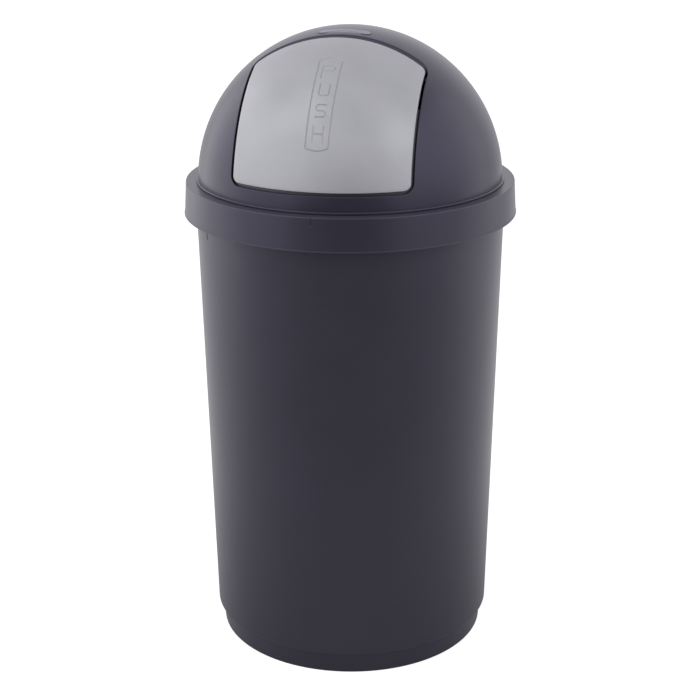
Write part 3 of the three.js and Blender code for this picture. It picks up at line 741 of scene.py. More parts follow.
# One closed skin: down the outside, round the bead and the spigot, up the inside and out again
# through the opening's edge. That edge is a row of outlines from the inner ball to the outer one,
# each at (radius, inset, gap at the top); the lower side slopes in as it goes down.
def domeParts():
    d = dome
    edge, outer, inner = d["edgeRound"], ball["radius"], ball["inner"]
    arc = np.linspace(0, math.pi / 2, 4)
    depth, inset = edge * (1 - np.cos(arc)), edge * (1 - np.sin(arc))
    step, turn, topGap, stepGap = d["stepRadius"], d["stepRound"], d["topGap"], d["stepGap"]
    rows = [(inner + w, i, stepGap) for w, i in zip(depth, inset)]
    rows += [(step - turn, 0, stepGap), (step, 0, stepGap + turn), (step, 0, topGap - d["stepFillet"])]
    rows += [(step + d["stepLean"], 0, topGap - d["stepLean"])]
    rows += [(outer - w, i, topGap) for w, i in zip(depth[::-1], inset[::-1])]
    rim = []
    for radius, moved, gap in rows:
        lower = d["lowerGap"] + d["lowerSlope"] * max(0, outer - edge - radius) / (outer - edge - inner)
        rim.append(outlinePoints(radius, d["gap"] + moved, lower + moved, gap + moved, d["counts"]))

    shares = np.concatenate([d["firstShares"], np.linspace(*d["evenShares"]), d["lastShares"]])
    beadTop = d["base"] + d["beadHeight"]
    innerLevel = beadTop + d["innerRise"]
    outerRows = skinRows(rim[-1], outer, beadTop, shares)
    innerRows = skinRows(rim[0], inner, innerLevel, shares[::2])[::-1]
    corners = [
        (levelRadius(outer, beadTop), beadTop, 0),
        (d["beadRadius"], beadTop, 1.15),
        (d["beadRadius"], d["base"], 0.4),
        (d["spigotOuter"], d["base"], 0.5),
        (d["spigotOuter"], d["spigotBottom"], 0.8),
        (d["spigotInner"], d["spigotBottom"], 0.8),
        (d["spigotInner"], d["base"] + d["innerRise"], 1.5),
        (levelRadius(inner, innerLevel), innerLevel, 0),
    ]
    profile = roundedLine(corners, closed=False)[1:-1]
    baseRows = turned(profile, np.arctan2(outerRows[-1][:, 0], -outerRows[-1][:, 1]))
    skin = surface(np.concatenate([outerRows, baseRows, innerRows, np.stack(rim[1:-1])]), wrapRows=True)
    bosses = [domeBoss(side, end) for side in (-1, 1) for end in (-1, 1)]
    return [skin, *bosses, domeKey(), domePad()]


# The middle of a bracket's screw, to the left or right and front or rear of the pin.
def screwPlace(side, end):
    return np.array([side * hinge["screwX"], hinge["y"] + end * hinge["screwSpacing"] / 2, 0])


# A boss is a tube that hangs from the inside of the skin: a turned profile moved to its place,
# whose roof points are lowered to just inside the ball.
def domeBoss(side, end):
    d = dome
    corners = [(0, d["bossTop"], 0), (d["bossRadius"] + d["bossTaper"], d["bossTop"], 0.3),
               (d["bossRadius"], d["bossBottom"], 0.5), (d["pilotRadius"], d["bossBottom"], 0.4),
               (d["pilotRadius"], d["pilotTop"], 0.3), (0, d["pilotTop"], 0)]
    profile = roundedLine(corners, steps=3, closed=False)
    grid = turned(profile, around(d["bossSteps"])) + screwPlace(side, end)
    roof = np.sqrt((ball["radius"] - d["bossSunk"]) ** 2 - grid[..., 0] ** 2 - grid[..., 1] ** 2)
    grid[..., 2] = np.minimum(grid[..., 2], roof + ball["centre"])
    return surface(grid, firstPole=True, lastPole=True)


# The key on the front of the spigot, a short rounded bar that stands in the collar's slot.
def domeKey():
    half, outer, inner = dome["keyHalf"], -dome["keyOuter"], -dome["keyInner"]
    edge = roundedBox(-half, outer, half, inner, (0.5, 0.5, 0.2, 0.2), steps=3)
    return plate(edge, dome["spigotBottom"], dome["keyTop"], dome["keyRound"], flat)


# The bare pad on the dome's crown: a rounded bar as seen from above, raised on the ball, with
# a slim rim. Its rows go in from the foot of its side over the rim to the middle.
def domePad():
    halfX, halfY = pad["half"]
    height, crest = pad["height"], pad["height"] + pad["rim"]
    turn = halfY * pad["round"]
    edge = roundedBox(-halfX, -halfY, halfX, halfY, [turn] * 4, steps=12, support=2.0)
    rows = [(0, -pad["sunk"]), (0, height - pad["rim"]), (pad["rim"], height), (pad["rimStart"], crest),
            (pad["rimEnd"], crest), *((inset, height) for inset in pad["top"])]
    rings = [(edge * 0, -pad["sunk"]), *((insetLine(edge, inset), h) for inset, h in rows)]
    last = rings[-1][0]
    rings += [(last * share, height) for share in (*pad["innerRings"], 0)]
    return surface(np.stack([padPoints(line, h) for line, h in rings]), firstPole=True, lastPole=True)


# Places seen from above, lifted on to the ball and raised by a height: z = root of r^2 - x^2 - y^2.
def padPoints(line, height):
    x, y = line[:, 0], line[:, 1] + pad["centre"]
    return np.column_stack([x, y, ball["centre"] + np.sqrt((ball["radius"] + height) ** 2 - x ** 2 - y ** 2)])


makePiece("bin_dome", domeParts(), domePlastic, "dome", "dome_shell")


flap = {
    "wall": 2.4, "edgeRound": 0.9, "topGrown": 0.8, "rimWidth": 3.0, "middleAngle": 49,
    "lipOuter": 173.2, "lipInner": 171.2, "lipSide": 8.0, "lipBottom": 11.0, "lipTop": 664.15,
    "panelHalf": 15.6, "panelAngles": (27.2, 69.6), "panelColumns": 94, "panelRows": 300,
    "counts": (41, 10, 292, 41), "skinRows": 17, "hollowRows": 15,
}

# The groove round the panel and the letters cut inside it, in mm across and degrees down the ball.
# A letter is its sign, its middle's angle, half its width and half its height.
lettering = {
    "frameHalf": 12.5, "frameAngles": (30.7, 66.2), "frameBulges": (1.9, 1.0), "framePoints": 25,
    "frameWidth": 1.1, "letterWidth": 1.1, "slope": 0.7, "depth": 0.75, "margin": 3,
    "letters": (("P", 36.2, 6.9, 9.2), ("U", 44.1, 5.4, 7.4), ("S", 52.6, 5.4, 7.3), ("H", 61.2, 5.6, 8.6)),
    "bowlFoot": 0.15, "bowlRound": 0.42, "cupRound": 0.4, "bendRound": 0.48,
}


# The strokes of a letter as lines, from half its width w and half its height h, v upwards.
def letterStrokes(letter, w, h):
    left, right = np.array([(-w, -h), (-w, h)]), np.array([(w, -h), (w, h)])
    if letter == "P":
        foot, turn = h * lettering["bowlFoot"], h * lettering["bowlRound"]
        bowl = [(-w, h, 0), (w, h, turn), (w, foot, turn), (-w, foot, 0)]
        return [left, roundedLine(bowl, steps=8, closed=False)]
    if letter == "U":
        turn = w * lettering["cupRound"]
        cup = [(-w, h, 0), (-w, -h, turn), (w, -h, turn), (w, h, 0)]
        return [roundedLine(cup, steps=8, closed=False)]
    if letter == "S":
        turn = h * lettering["bendRound"]
        bends = [(w, h, 0), (-w, h, turn), (-w, 0, turn), (w, 0, turn), (w, -h, turn), (-w, -h, 0)]
        return [roundedLine(bends, steps=8, closed=False)]
    return [left, right, np.array([(-w, 0), (w, 0)])]


# The distance from every point to the nearest of a line's segments: the foot of the
# perpendicular is clamped to the segment's ends.
def distanceTo(line, points):
    start, along = line[:-1], np.diff(line, axis=0)
    away = points[:, None] - start[None]
    share = np.clip((away * along).sum(-1) / np.maximum((along ** 2).sum(-1), 1e-9), 0, 1)
    return np.linalg.norm(away - share[..., None] * along, axis=-1).min(1)


# How deep the panel's skin is cut at points of (x, mm down the ball): a stroke has its full depth
# within half its width and slopes off beyond.
def letteringDepth(points):
    t = lettering
    scale = math.radians(1) * ball["radius"]

    def strokeDepth(line, points, width):
        return 1 - smoothStep((distanceTo(line, points) - width / 2) / t["slope"] + 0.5)

    top, bottom = (angle * scale for angle in t["frameAngles"])
    half = t["frameHalf"]
    x = np.linspace(-half, half, t["framePoints"])
    over, below = (bulge * scale * (1 - (x / half) ** 2) for bulge in t["frameBulges"])
    corners = np.concatenate([np.column_stack([x, top - over]), np.column_stack([x, bottom + below])[::-1]])
    depth = strokeDepth(np.concatenate([corners, corners[:1]]), points, t["frameWidth"])
    for letter, angle, w, h in t["letters"]:
        near = np.abs(points[:, 1] - angle * scale) < h + t["margin"]
        for stroke in letterStrokes(letter, w, h):
            line = np.column_stack([stroke[:, 0], angle * scale - stroke[:, 1]])
            depth[near] = np.maximum(depth[near], strokeDepth(line, points[near], t["letterWidth"]))
    return depth * t["depth"]


# A point of the ball at x across and an angle down from the top: y = -s sin a, z = s cos a
# with s = sqrt(r^2 - x^2).
def onBall(x, angle, radius):
    s = np.sqrt(radius ** 2 - x ** 2)
    return np.stack([x + 0 * angle, -s * np.sin(angle), ball["centre"] + s * np.cos(angle)], axis=-1)


# The panel's grid, row by row from its top, cut in along the ball's normal.
def flapPanel():
    top, bottom = np.radians(flap["panelAngles"])
    x = np.linspace(-flap["panelHalf"], flap["panelHalf"], flap["panelColumns"] + 1)
    x, angle = np.meshgrid(x, np.linspace(top, bottom, flap["panelRows"] + 1))
    points = np.column_stack([x.ravel(), angle.ravel() * ball["radius"]])
    return onBall(x, angle, ball["radius"] - letteringDepth(points).reshape(x.shape))


# The panel's edge as a loop that starts at the middle of its lower side and runs to the right,
# as the flap's outline does.
def loopOf(grid):
    half = grid.shape[1] // 2
    bottom, right = grid[-1, half:-1], grid[::-1][:-1, -1]
    top, left = grid[0, ::-1][:-1], grid[:-1, 0]
    return np.concatenate([bottom, right, top, left, grid[-1, :half]])


# The flap's skin goes out from the panel to the edge, over it, down its side, out along the stop
# lip, back under it and over the rim's inside to the middle of the hollow side. Every row is the
# outline grown by one amount on a ball of one radius.
def flapParts():
    f = flap
    counts = f["counts"]
    panel = flapPanel()
    edge = f["edgeRound"]
    radius, under = ball["radius"], ball["radius"] - f["wall"]
    centre = np.array([0, 0, ball["centre"]])

    def ring(r, grown):
        return outlinePoints(r, grown, grown, grown + f["topGrown"], counts)

    def lipRing(r, inset):
        side, bottom = f["lipSide"] - inset, f["lipBottom"] - inset
        return outlinePoints(r, side, bottom, f["topGrown"], counts, 0, f["lipTop"])

    # rows from one loop to another, laid on to the ball of radius r
    def between(start, end, r, rows):
        made = []
        for share in np.linspace(0, 1, rows)[1:]:
            away = start + (end - start) * share - centre
            made.append(centre + away * (r / np.linalg.norm(away, axis=1))[:, None])
        return made

    inside = loopOf(panel)
    rows = between(inside, ring(radius, -edge), radius, f["skinRows"])
    arc = np.linspace(0, math.pi / 2, 5)[1:]
    rows += [ring(radius - edge * (1 - math.cos(a)), -edge * (1 - math.sin(a))) for a in arc]
    lipOuter, lipInner, rim = f["lipOuter"], f["lipInner"], -f["rimWidth"]
    rows += [ring(lipOuter + 0.4, 0), ring(lipOuter + 0.15, 0)]
    middle, half = (lipOuter + lipInner) / 2, (lipOuter - lipInner) / 2
    arc = np.linspace(0, math.pi, 9)
    rows += [lipRing(middle + half * math.cos(a), half * (1 - math.sin(a))) for a in arc]
    # round the foot of the rim's inner side, up that side, and round on to the hollow side
    inner = ((lipInner, 0.6), (lipInner + 0.2, 0.15), (lipInner + 0.7, 0),
             (under - 0.5, 0), (under - 0.1, -0.2), (under, -0.6))
    rows += [ring(r, rim + grown) for r, grown in inner]
    pole = onBall(np.array(0.0), np.radians(f["middleAngle"]), under)
    rows += between(rows[-1], pole, under, f["hollowRows"])
    skirt = surface(np.stack([inside, *rows]), lastPole=True, closed=False)
    face = surface(panel, wrapColumns=False, closed=False)
    return [facingOut(welded([skirt, face])), flapEar(-1), flapEar(1)]


# Joins sheets whose edges meet: points that agree to a micrometre become one.
def welded(parts):
    points, quads, triangles = joined(parts)
    _, first, same = np.unique(np.round(points, 3), axis=0, return_index=True, return_inverse=True)
    same = same.ravel()
    return points[first], same[quads], same[triangles]


# The flap's ears, which turn on the pins. Angles of the neck are degrees on from the line that
# runs outwards from the ball's middle through the pin.
ear = {
    "swing": 70.0, "heelWidth": 5.0, "heelClearance": 1.0, "heelSpread": 0.8,
    "neckAngles": (14, 74), "neckFades": (0.12, 0.5), "edgeRound": 0.5, "steps": 240,
}


# An ear is a plate across the hinge whose edge is a distance from the pin for each direction:
# the hub, a heel that points to where the dome will be when the flap is open, and a neck that
# reaches into the flap's skin.
def flapEar(side):
    e, h = ear, hinge
    angle = around(e["steps"])
    x0, x1 = sorted((side * h["earInner"], side * h["earOuter"]))
    outermost, hub = h["earOuter"], h["hubRadius"]
    outwards = math.pi / 2 + math.radians(h["angle"])
    fromHeel = np.abs((angle - outwards + math.radians(e["swing"]) + math.pi) % (2 * math.pi) - math.pi)
    heelLength = math.sqrt(ball["inner"] ** 2 - outermost ** 2) - h["radius"] - e["heelClearance"]
    heel = np.minimum(e["heelWidth"] / 2 / np.maximum(np.sin(fromHeel), 1e-3), heelLength)
    heel = np.where(fromHeel < e["heelSpread"], heel, 0)
    # from the pin at (y, z) the skin's circle is away by the root of along^2 + r^2 - y^2 - z^2, less along
    skin = ball["radius"] - flap["wall"] / 2
    y, z = h["y"], h["z"] - ball["centre"]
    along = y * np.cos(angle) + z * np.sin(angle)
    reach = np.sqrt(along ** 2 + skin ** 2 - outermost ** 2 - y ** 2 - z ** 2) - along
    start, end = (outwards + math.radians(turn) for turn in e["neckAngles"])
    inNeck = smoothStep((angle - start) / e["neckFades"][0]) * smoothStep((end - angle) / e["neckFades"][1])
    neck = hub + (reach - hub) * inNeck
    radius = np.maximum(np.maximum(hub, heel), neck)
    edge, hole = (pinPoints(r, angle) for r in (radius, h["holeRadius"]))
    return plate(edge, x0, x1, e["edgeRound"], acrossHinge, hole=hole)


# Points of [y, z] at a distance and an angle from the pin: y0 + r cos a, z0 + r sin a.
def pinPoints(radius, angles):
    return np.stack([hinge["y"] + radius * np.cos(angles), hinge["z"] + radius * np.sin(angles)], axis=-1)


makePiece("bin_flap", flapParts(), flapSilver, "flap", "push_flap")
print("shells made")


# Turns a profile of [x, radius] round the hinge's axis.
def turnedOnHinge(profile, angles):
    x, radius = np.asarray(profile, float).T[:, :, None]
    return np.concatenate([(x + 0 * angles)[..., None], pinPoints(radius, angles)], axis=-1)


# The same part on the other side: x changes its sign and the faces turn over.
def mirrored(part):
    points, quads, triangles = part
    return points * [-1, 1, 1], quads[:, ::-1], triangles[:, ::-1]


# The brackets, made for the right side as all that follows
bracket = {
    "inner": 96.69, "ear": 100.69, "outer": 111.19, "bottom": 675.75, "top": 678.75, "halfDepth": 18.0,
    "cornerRound": 3.0, "edgeRound": 0.5, "screwHole": 1.65, "fillet": 1.4, "postSunk": 1.2, "seamPoints": 14,
    "shelfInner": 94.09, "shelfFront": -47.22, "shelfSunk": 1,
    "keeperWidth": 0.7, "keeperDepth": 3.1, "keeperHeight": 1.4, "keeperSunk": 1.0,
    "keeperInset": (0.05, 0.1),
    "gussetAway": 5.95, "gussetWidth": 1.0, "gussetReach": 5.2, "gussetRise": 6.0, "gussetEdge": (0.6, 0.5),
    "gussetSunk": 0.6, "close": (0.04, 0.03),   # keeps faces that would lie in one plane apart
}


# One half of the bracket's plate, front or rear, between its outline and its screw's hole. Rows go
# up the outline's edge, in over the top, down the hole and back. Faces in the plane where the
# halves meet are left out, so that the halves can be joined into one skin.
def plateHalf(end):
    b = bracket
    centre = screwPlace(1, end)[:2]
    seam, far = hinge["y"], hinge["y"] + end * b["halfDepth"]

    def outlineAt(inset):
        right, left, out = b["outer"] - inset, b["inner"] + inset, far - end * inset
        corner = b["cornerRound"] - inset
        corners = [(right, seam, 0), (right, out, corner), (left, out, corner), (left, seam, 0)]
        back = np.linspace(left, right, b["seamPoints"])[1:-1]
        bend = roundedLine(corners, steps=6, closed=False, support=0.5)
        return np.concatenate([bend, np.column_stack([back, np.full(len(back), seam)])])

    away = outlineAt(0) - centre
    away /= np.linalg.norm(away, axis=1)[:, None]
    edge, hole = b["edgeRound"], b["screwHole"]
    arc = np.linspace(0, math.pi / 2, 4)
    low = [(outlineAt(edge * (1 - math.sin(a))), b["bottom"] + edge * (1 - math.cos(a))) for a in arc]
    high = [(line, b["bottom"] + b["top"] - z) for line, z in low[::-1]]
    within = outlineAt(edge + 0.5)
    rows = [(within, b["bottom"]), *low, *high, (within, b["top"])]
    holeRows = ((hole + 0.8, 0), (hole + 0.3, 0), (hole, 0.3))
    rows += [(centre + away * radius, b["top"] - inset) for radius, inset in holeRows]
    rows += [(centre + away * radius, b["bottom"] + inset) for radius, inset in holeRows[::-1]]
    grid = np.stack([np.column_stack([line, np.full(len(line), z)]) for line, z in rows])
    points, quads, triangles = surface(grid, wrapRows=True)
    inSeam = (np.abs(points[quads][..., 1] - seam) < 1e-6).all(1)
    return points, quads[~inSeam], triangles


# The post is a plate across the hinge: a half circle over the pin, straight sides, and a fillet
# of a quarter circle on each side where it stands on the bracket's plate.
def bracketPost():
    b = bracket
    half, fillet, sunk = hinge["hubRadius"], b["fillet"], b["top"] - b["postSunk"]
    arc = np.linspace(0, math.pi, 41)
    over = np.column_stack([half * np.cos(arc), hinge["z"] + half * np.sin(arc)])
    down = np.column_stack([np.full(4, -half), np.linspace(hinge["z"], b["top"] + fillet, 6)[1:-1]])
    bend = np.linspace(0, -math.pi / 2, 7)
    foot = np.column_stack([np.cos(bend), np.sin(bend)]) * fillet + [-half - fillet, b["top"] + fillet]
    left = np.concatenate([down, foot, [(-half - fillet, sunk)]])
    across = np.column_stack([np.linspace(-half, half, 9), np.full(9, sunk)])
    line = np.concatenate([over, left, across, left[::-1] * [-1, 1]])
    away = line - [0, hinge["z"]]
    away /= np.linalg.norm(away, axis=1)[:, None]
    hole = away * hinge["holeRadius"] + [0, hinge["z"]]
    shift = np.array([hinge["y"], 0])
    return plate(line + shift, b["inner"] + b["close"][0], b["ear"], 0.4, acrossHinge, hole=hole + shift)


# The shelf under the spring's foot, with a low wall at its tip that keeps the foot in place.
def bracketShelf():
    b = bracket
    inner, front, close = b["shelfInner"], b["shelfFront"], b["close"][1]
    edge = roundedBox(inner, front, b["inner"] + b["shelfSunk"], hinge["y"], (1.0, 1.0, 0.3, 1.2))
    shelf = plate(edge, b["bottom"] + close, b["top"] - close, 0.5, flat)
    side, start = b["keeperInset"]
    edge = roundedBox(inner + side, front + start, inner + b["keeperWidth"], front + start + b["keeperDepth"],
                      [0.3] * 4, steps=3, support=0.2)
    return [shelf, plate(edge, b["top"] - b["keeperSunk"], b["top"] + b["keeperHeight"], 0.25, flat)]


# A gusset is a three-sided plate in the corner between the post and the bracket's plate.
def bracketGusset(end):
    b = bracket
    start, base, rise = b["ear"] - b["gussetSunk"], b["top"] - b["gussetSunk"], b["top"] + b["gussetRise"]
    out, side = start + b["gussetReach"], b["gussetEdge"]
    corners = [(start, base, 0.2), (out, base, 0.2), (out, b["top"] + side[1], 0.5),
               (b["ear"] + side[0], rise, 0.5), (start, rise, 0.2)]
    edge = roundedLine(corners, steps=3, support=0.3)
    y0 = hinge["y"] + end * b["gussetAway"] - b["gussetWidth"] / 2
    return plate(edge, y0, y0 + b["gussetWidth"], 0.3, lambda u, v, w: (u, w, v))


def bracketParts():
    base = facingOut(welded([plateHalf(-1), plateHalf(1)]))
    return [base, bracketPost(), *bracketShelf(), bracketGusset(-1), bracketGusset(1)]


# The pins: a domed head inside the flap's ear and a shank with a tapered end
pin = {
    "headStart": 81.79, "headEnd": 83.79, "headRadius": 4.0, "crown": 0.9, "dimple": 0.9, "dimpleDepth": 0.2,
    "shoulder": (0.35, 0.72), "end": 102.99, "taperLength": 1.2, "taper": 0.6, "steps": 56,
}


# The pin's section is a line of (x, radius, round) corners.
def pinParts():
    p = pin
    start, end, radius = p["headStart"], p["end"], hinge["pinRadius"]
    line = [
        (start + p["dimpleDepth"], 0, 0),
        (start, p["dimple"], 0.3),
        (start + p["crown"] * p["shoulder"][0], p["headRadius"] * p["shoulder"][1], 2.0),
        (start + p["crown"], p["headRadius"], 0.5),
        (p["headEnd"], p["headRadius"], 0.25),
        (p["headEnd"], radius, 0.15),
        (end - p["taperLength"], radius, 0.6),
        (end, radius - p["taper"], 0.6),
        (end, 0, 0),
    ]
    profile = roundedLine(line, closed=False)
    return [surface(turnedOnHinge(profile, around(p["steps"])), firstPole=True, lastPole=True)]


# The push nuts: a dished ring whose six teeth grip the pin
pushNut = {
    "start": 100.99, "radius": 5.0, "ringInner": 3.85, "rimWidth": 0.45,
    "sheet": 0.38, "bend": 0.1, "dish": 0.35, "teeth": 6, "toothGap": 0.5, "toothTip": 2.58,
    "toothRise": 0.7, "toothRoot": 0.25, "toothCurve": 1.3,
    "toothRows": 7, "steps": 72,
}


def pushNutParts():
    n = pushNut
    front, inner, bend = n["start"], n["ringInner"], n["bend"]
    back, flatFrom = front + n["sheet"], n["radius"] - n["rimWidth"]
    corners = [(front + n["dish"], inner, 0.1), (front, flatFrom, 0.3), (front, n["radius"], 0.15),
               (back, n["radius"], 0.15), (back, flatFrom + bend, 0.3), (back + n["dish"], inner + bend, 0.1)]
    section = roundedLine(corners, steps=3, support=0.1)
    ring = surface(turnedOnHinge(section, around(n["steps"])), wrapRows=True)
    return [ring, *[pushNutTooth(k * 2 * math.pi / n["teeth"]) for k in range(n["teeth"])]]


# A tooth runs in from the ring at an angle. Its section is a small rounded bar as wide as its share
# of the circle less the gap, and it leans outwards as it nears the pin.
def pushNutTooth(angle):
    n = pushNut
    share = np.linspace(0, 1, n["toothRows"])[:, None]
    root = n["ringInner"] + n["toothRoot"]
    radius = root + (n["toothTip"] - root) * share
    half = math.pi * radius / n["teeth"] - n["toothGap"] / 2
    section = roundedBox(-1, -0.5, 1, 0.5, [0.12] * 4, steps=3, support=0.1)
    across = section[:, 0] * half
    lean = n["toothRise"] * share ** n["toothCurve"]
    x = n["start"] + n["dish"] + n["sheet"] * (0.5 + section[:, 1]) + lean
    y = hinge["y"] + radius * math.cos(angle) - across * math.sin(angle)
    z = hinge["z"] + radius * math.sin(angle) + across * math.cos(angle)
    return capped(np.stack([x, y, z], axis=-1))


# The screws: a pan head that faces down, with a cross recess, and a thread that cuts into the boss
screw = {
    "headBottom": 673.45, "headTop": 675.45, "headRadius": 3.2, "headFlat": 2.1, "headCurve": 0.75,
    "headEdge": 0.15, "underFlat": 2.0, "neck": ((0.35, 0), (0.1, 0.3)),    # (out from the root, up)
    "root": 1.15, "crest": 1.6, "pitch": 1.3, "ridgeHalf": 0.32,
    "threadStart": 679.3, "threadBefore": 1, "threadFades": (0.8, 1.2),
    "shankStart": 0.5, "rowStep": 0.09, "tip": 685.55, "tipLength": 1.6, "tipShape": (0.25, 0.6),
    "recessHalf": 0.4, "recessReach": 1.55, "recessDepth": 1.3, "recessSlopes": (0.14, 0.9),
    "recessTurn": 0.4, "faceRows": 22, "steps": 72,
}


# Rows go out over the head's face, round its side, in under it, then up the shank. The recess is
# two crossed bars, deepest where they meet. The thread's radius at height z and turn a follows a
# ridge of the fraction of z / pitch - a / (2 pi).
def screwParts(end):
    s = screw
    low, high, root, tip = s["headBottom"], s["headTop"], s["root"], s["tip"]
    angles = around(s["steps"])
    face = [(r, low) for r in np.linspace(0, s["headFlat"], s["faceRows"])]
    arc = np.linspace(0, math.pi / 2, 7)[1:]
    reach, drop = s["headRadius"] - s["headFlat"], (high - low) * s["headCurve"]
    side = [(s["headFlat"] + reach * math.sin(a), low + drop * (1 - math.cos(a))) for a in arc]
    edge = s["headEdge"]
    under = [(s["headRadius"], high - edge), (s["headRadius"] - edge, high), (s["underFlat"], high)]
    neck = [(root + out, high + up) for out, up in s["neck"]]
    shank = [(root, z) for z in np.arange(high + s["shankStart"], tip, s["rowStep"])]
    profile = np.array([*face, *side, *under, *neck, *shank, (0, tip)])
    radius, z = profile[:, :1] + 0 * angles, profile[:, 1:] + 0 * angles
    fraction = ((z - s["threadStart"]) / s["pitch"] - angles / (2 * math.pi)) % 1
    ridge = np.maximum(0, 1 - np.abs(fraction - 0.5) / s["ridgeHalf"])
    fadeIn, fadeOut = s["threadFades"]
    ridge = ridge * smoothStep((z - s["threadStart"] + s["threadBefore"]) / fadeIn)
    ridge = ridge * smoothStep((tip - z) / fadeOut)
    thinnest, curve = s["tipShape"]
    taper = np.clip((tip - z) / s["tipLength"], thinnest, 1) ** curve
    onShank = z > high + s["shankStart"] - s["rowStep"]
    radius = np.where(onShank, (root + (s["crest"] - root) * ridge) * taper, radius)
    radius[-1] = 0
    u, v = (np.abs(radius * wave(angles + s["recessTurn"])) for wave in (np.cos, np.sin))

    def bar(across, along):
        wide, long = s["recessSlopes"]
        wall = smoothStep((s["recessHalf"] - across) / wide + 0.5)
        return wall * smoothStep((s["recessReach"] - along) / long)

    recess = s["recessDepth"] * np.maximum(bar(u, v), bar(v, u)) * (z <= low)
    grid = np.stack([radius * np.cos(angles), radius * np.sin(angles), z + recess], axis=-1)
    return [surface(grid + screwPlace(1, end), firstPole=True, lastPole=True)]


# The springs: a foot on the bracket's shelf, turns round the pin and a leg inside the flap
spring = {
    "wire": 0.6, "coil": 4.5, "startX": 95.79, "endX": 89.99, "startAngle": -90.0, "turn": 1248.0,
    "foot": 8.0, "tipClearance": 1.2, "capAngles": (0, 20, 45, 70),
    "sides": 14, "coilSteps": 300, "footSteps": 14, "legSteps": 30,
}


# The wire's middle line at a distance s from the coil's start: on the coil the angle grows by
# s / r, before and after it the line goes straight on along the tangent. A ring of the wire is
# laid out on the direction away from the pin and on the direction along the pin, and both ends
# are half balls.
def springParts():
    p = spring
    start, turn = math.radians(p["startAngle"]), math.radians(p["turn"])
    coil, wire, foot = turn * p["coil"], p["wire"], p["foot"]
    legAngle = start + turn
    skin = math.sqrt((ball["radius"] - flap["wall"]) ** 2 - p["endX"] ** 2) - p["tipClearance"]
    y, z = pinPoints(p["coil"], legAngle) - [0, ball["centre"]]
    along = -y * math.sin(legAngle) + z * math.cos(legAngle)
    leg = math.sqrt(along ** 2 + skin ** 2 - y ** 2 - z ** 2) - along
    cap = np.radians(p["capAngles"])
    capAway, capThick = wire * (1 - np.cos(cap)), wire * np.sin(cap)
    middle = np.concatenate([
        np.linspace(wire - foot, 0, p["footSteps"])[:-1],
        np.linspace(0, coil, p["coilSteps"]),
        np.linspace(coil, coil + leg - wire, p["legSteps"])[1:],
    ])
    travelled = np.concatenate([capAway - foot, middle, coil + leg - capAway[::-1]])[:, None]
    thick = np.concatenate([capThick, np.full(len(middle), wire), capThick[::-1]])[:, None]
    share = np.clip(travelled / coil, 0, 1)
    angle = start + share * turn
    straight = np.minimum(travelled, 0) + np.maximum(travelled - coil, 0)
    ring = around(p["sides"])
    away = p["coil"] + thick * np.cos(ring)
    x = p["startX"] + (p["endX"] - p["startX"]) * share + thick * np.sin(ring)
    y = hinge["y"] + away * np.cos(angle) - straight * np.sin(angle)
    z = hinge["z"] + away * np.sin(angle) + straight * np.cos(angle)
    return [surface(np.stack([x, y, z], axis=-1), firstPole=True, lastPole=True)]


# A hinge set: each piece's name and the node it stands for, with left or right to come between
# their start and their end, and then its parts, material, slot and body
hingeSet = [
    ("bin_bracket_", "hinge_bracket_", "", bracketParts(), bracketPlastic, "bracket_plastic", "dome"),
    ("bin_pin_", "hinge_pin_", "", pinParts(), zincSteel, "pin_steel", "dome"),
    ("bin_nut_", "push_nut_", "", pushNutParts(), springSteel, "spring_steel", "dome"),
    ("bin_screw_", "bracket_screw_", "_front", screwParts(-1), zincSteel, "screw_steel", "dome"),
    ("bin_screw_", "bracket_screw_", "_rear", screwParts(1), zincSteel, "screw_steel", "dome"),
    ("bin_spring_", "torsion_spring_", "", springParts(), springSteel, "spring_steel", None),
]

# Both sets' brackets, pins, nuts and screws ride on the dome. A spring's wire, which comes last, rides on no
# body, and its place is baked into its mesh.
for label, mirror in (("right", 1), ("left", -1)):
    for name, node, end, parts, material, slotName, body in hingeSet:
        sided = parts if mirror == 1 else [mirrored(part) for part in parts]
        wire = makePiece(name + label + end, sided, material, body, node + label + end)
    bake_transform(wire)
print("hinge sets made")


# The photograph's viewing angle: pitch is down, turn is towards the object's right
camera = {
    "place": (0.3996, -1.7688, 0.9974), "pitch": 20.76, "turn": 12.73, "roll": 0.24,
    "lens": 81.97, "sensor": 36, "shift": (0.0019, 0.0438), "clip": (0.01, 100),
}

# The studio: a pale floor and a pale room with a dark gap where the camera stands, in metres and
# strengths. A range is where a value fades from its first level to its second.
studio = {
    "floorSize": 40.0, "floorColour": (0.48, 0.48, 0.48, 1), "floorGlow": 0.8, "floorShine": 0.52,
    "floorFade": (0.05, 0.6), "floorShade": (-0.1, 0.8),
    "diffuseLevels": (0.98, 0.4), "roomLevel": 0.88, "gapLevel": 0.05, "gapRange": (0.84, 0.995),
    "ceilingLevels": (1.0, 1.25), "ceilingRange": (-0.1, 0.35),
}

# Soft panels. Each is turned from the camera's side by an angle, left is minus, and stands at a
# rise over the point at the height of its aim, which it faces.
widePanel = {"rise": 0, "aim": 1.12, "distance": 1.7}
softbox = {"aim": 0.65, "distance": 1.6}
panels = [
    {"name": "left panel", "turn": -90, **widePanel, "size": (4.2, 2.2), "level": 0.88},
    {"name": "right panel", "turn": 74, **widePanel, "size": (3.4, 2.2), "level": 0.57},
    {"name": "left softbox", "turn": -52, "rise": 52, **softbox, "size": (0.8, 0.8), "level": 1.3},
    {"name": "right softbox", "turn": 41, "rise": 38, **softbox, "size": (0.7, 0.7), "level": 1.0},
]


# The direction at a turn round the object and a rise over the floor, both in degrees.
def towards(turn, rise=0):
    turn, rise = math.radians(turn), math.radians(rise)
    return Vector((math.sin(turn) * math.cos(rise), -math.cos(turn) * math.cos(rise), math.sin(rise)))


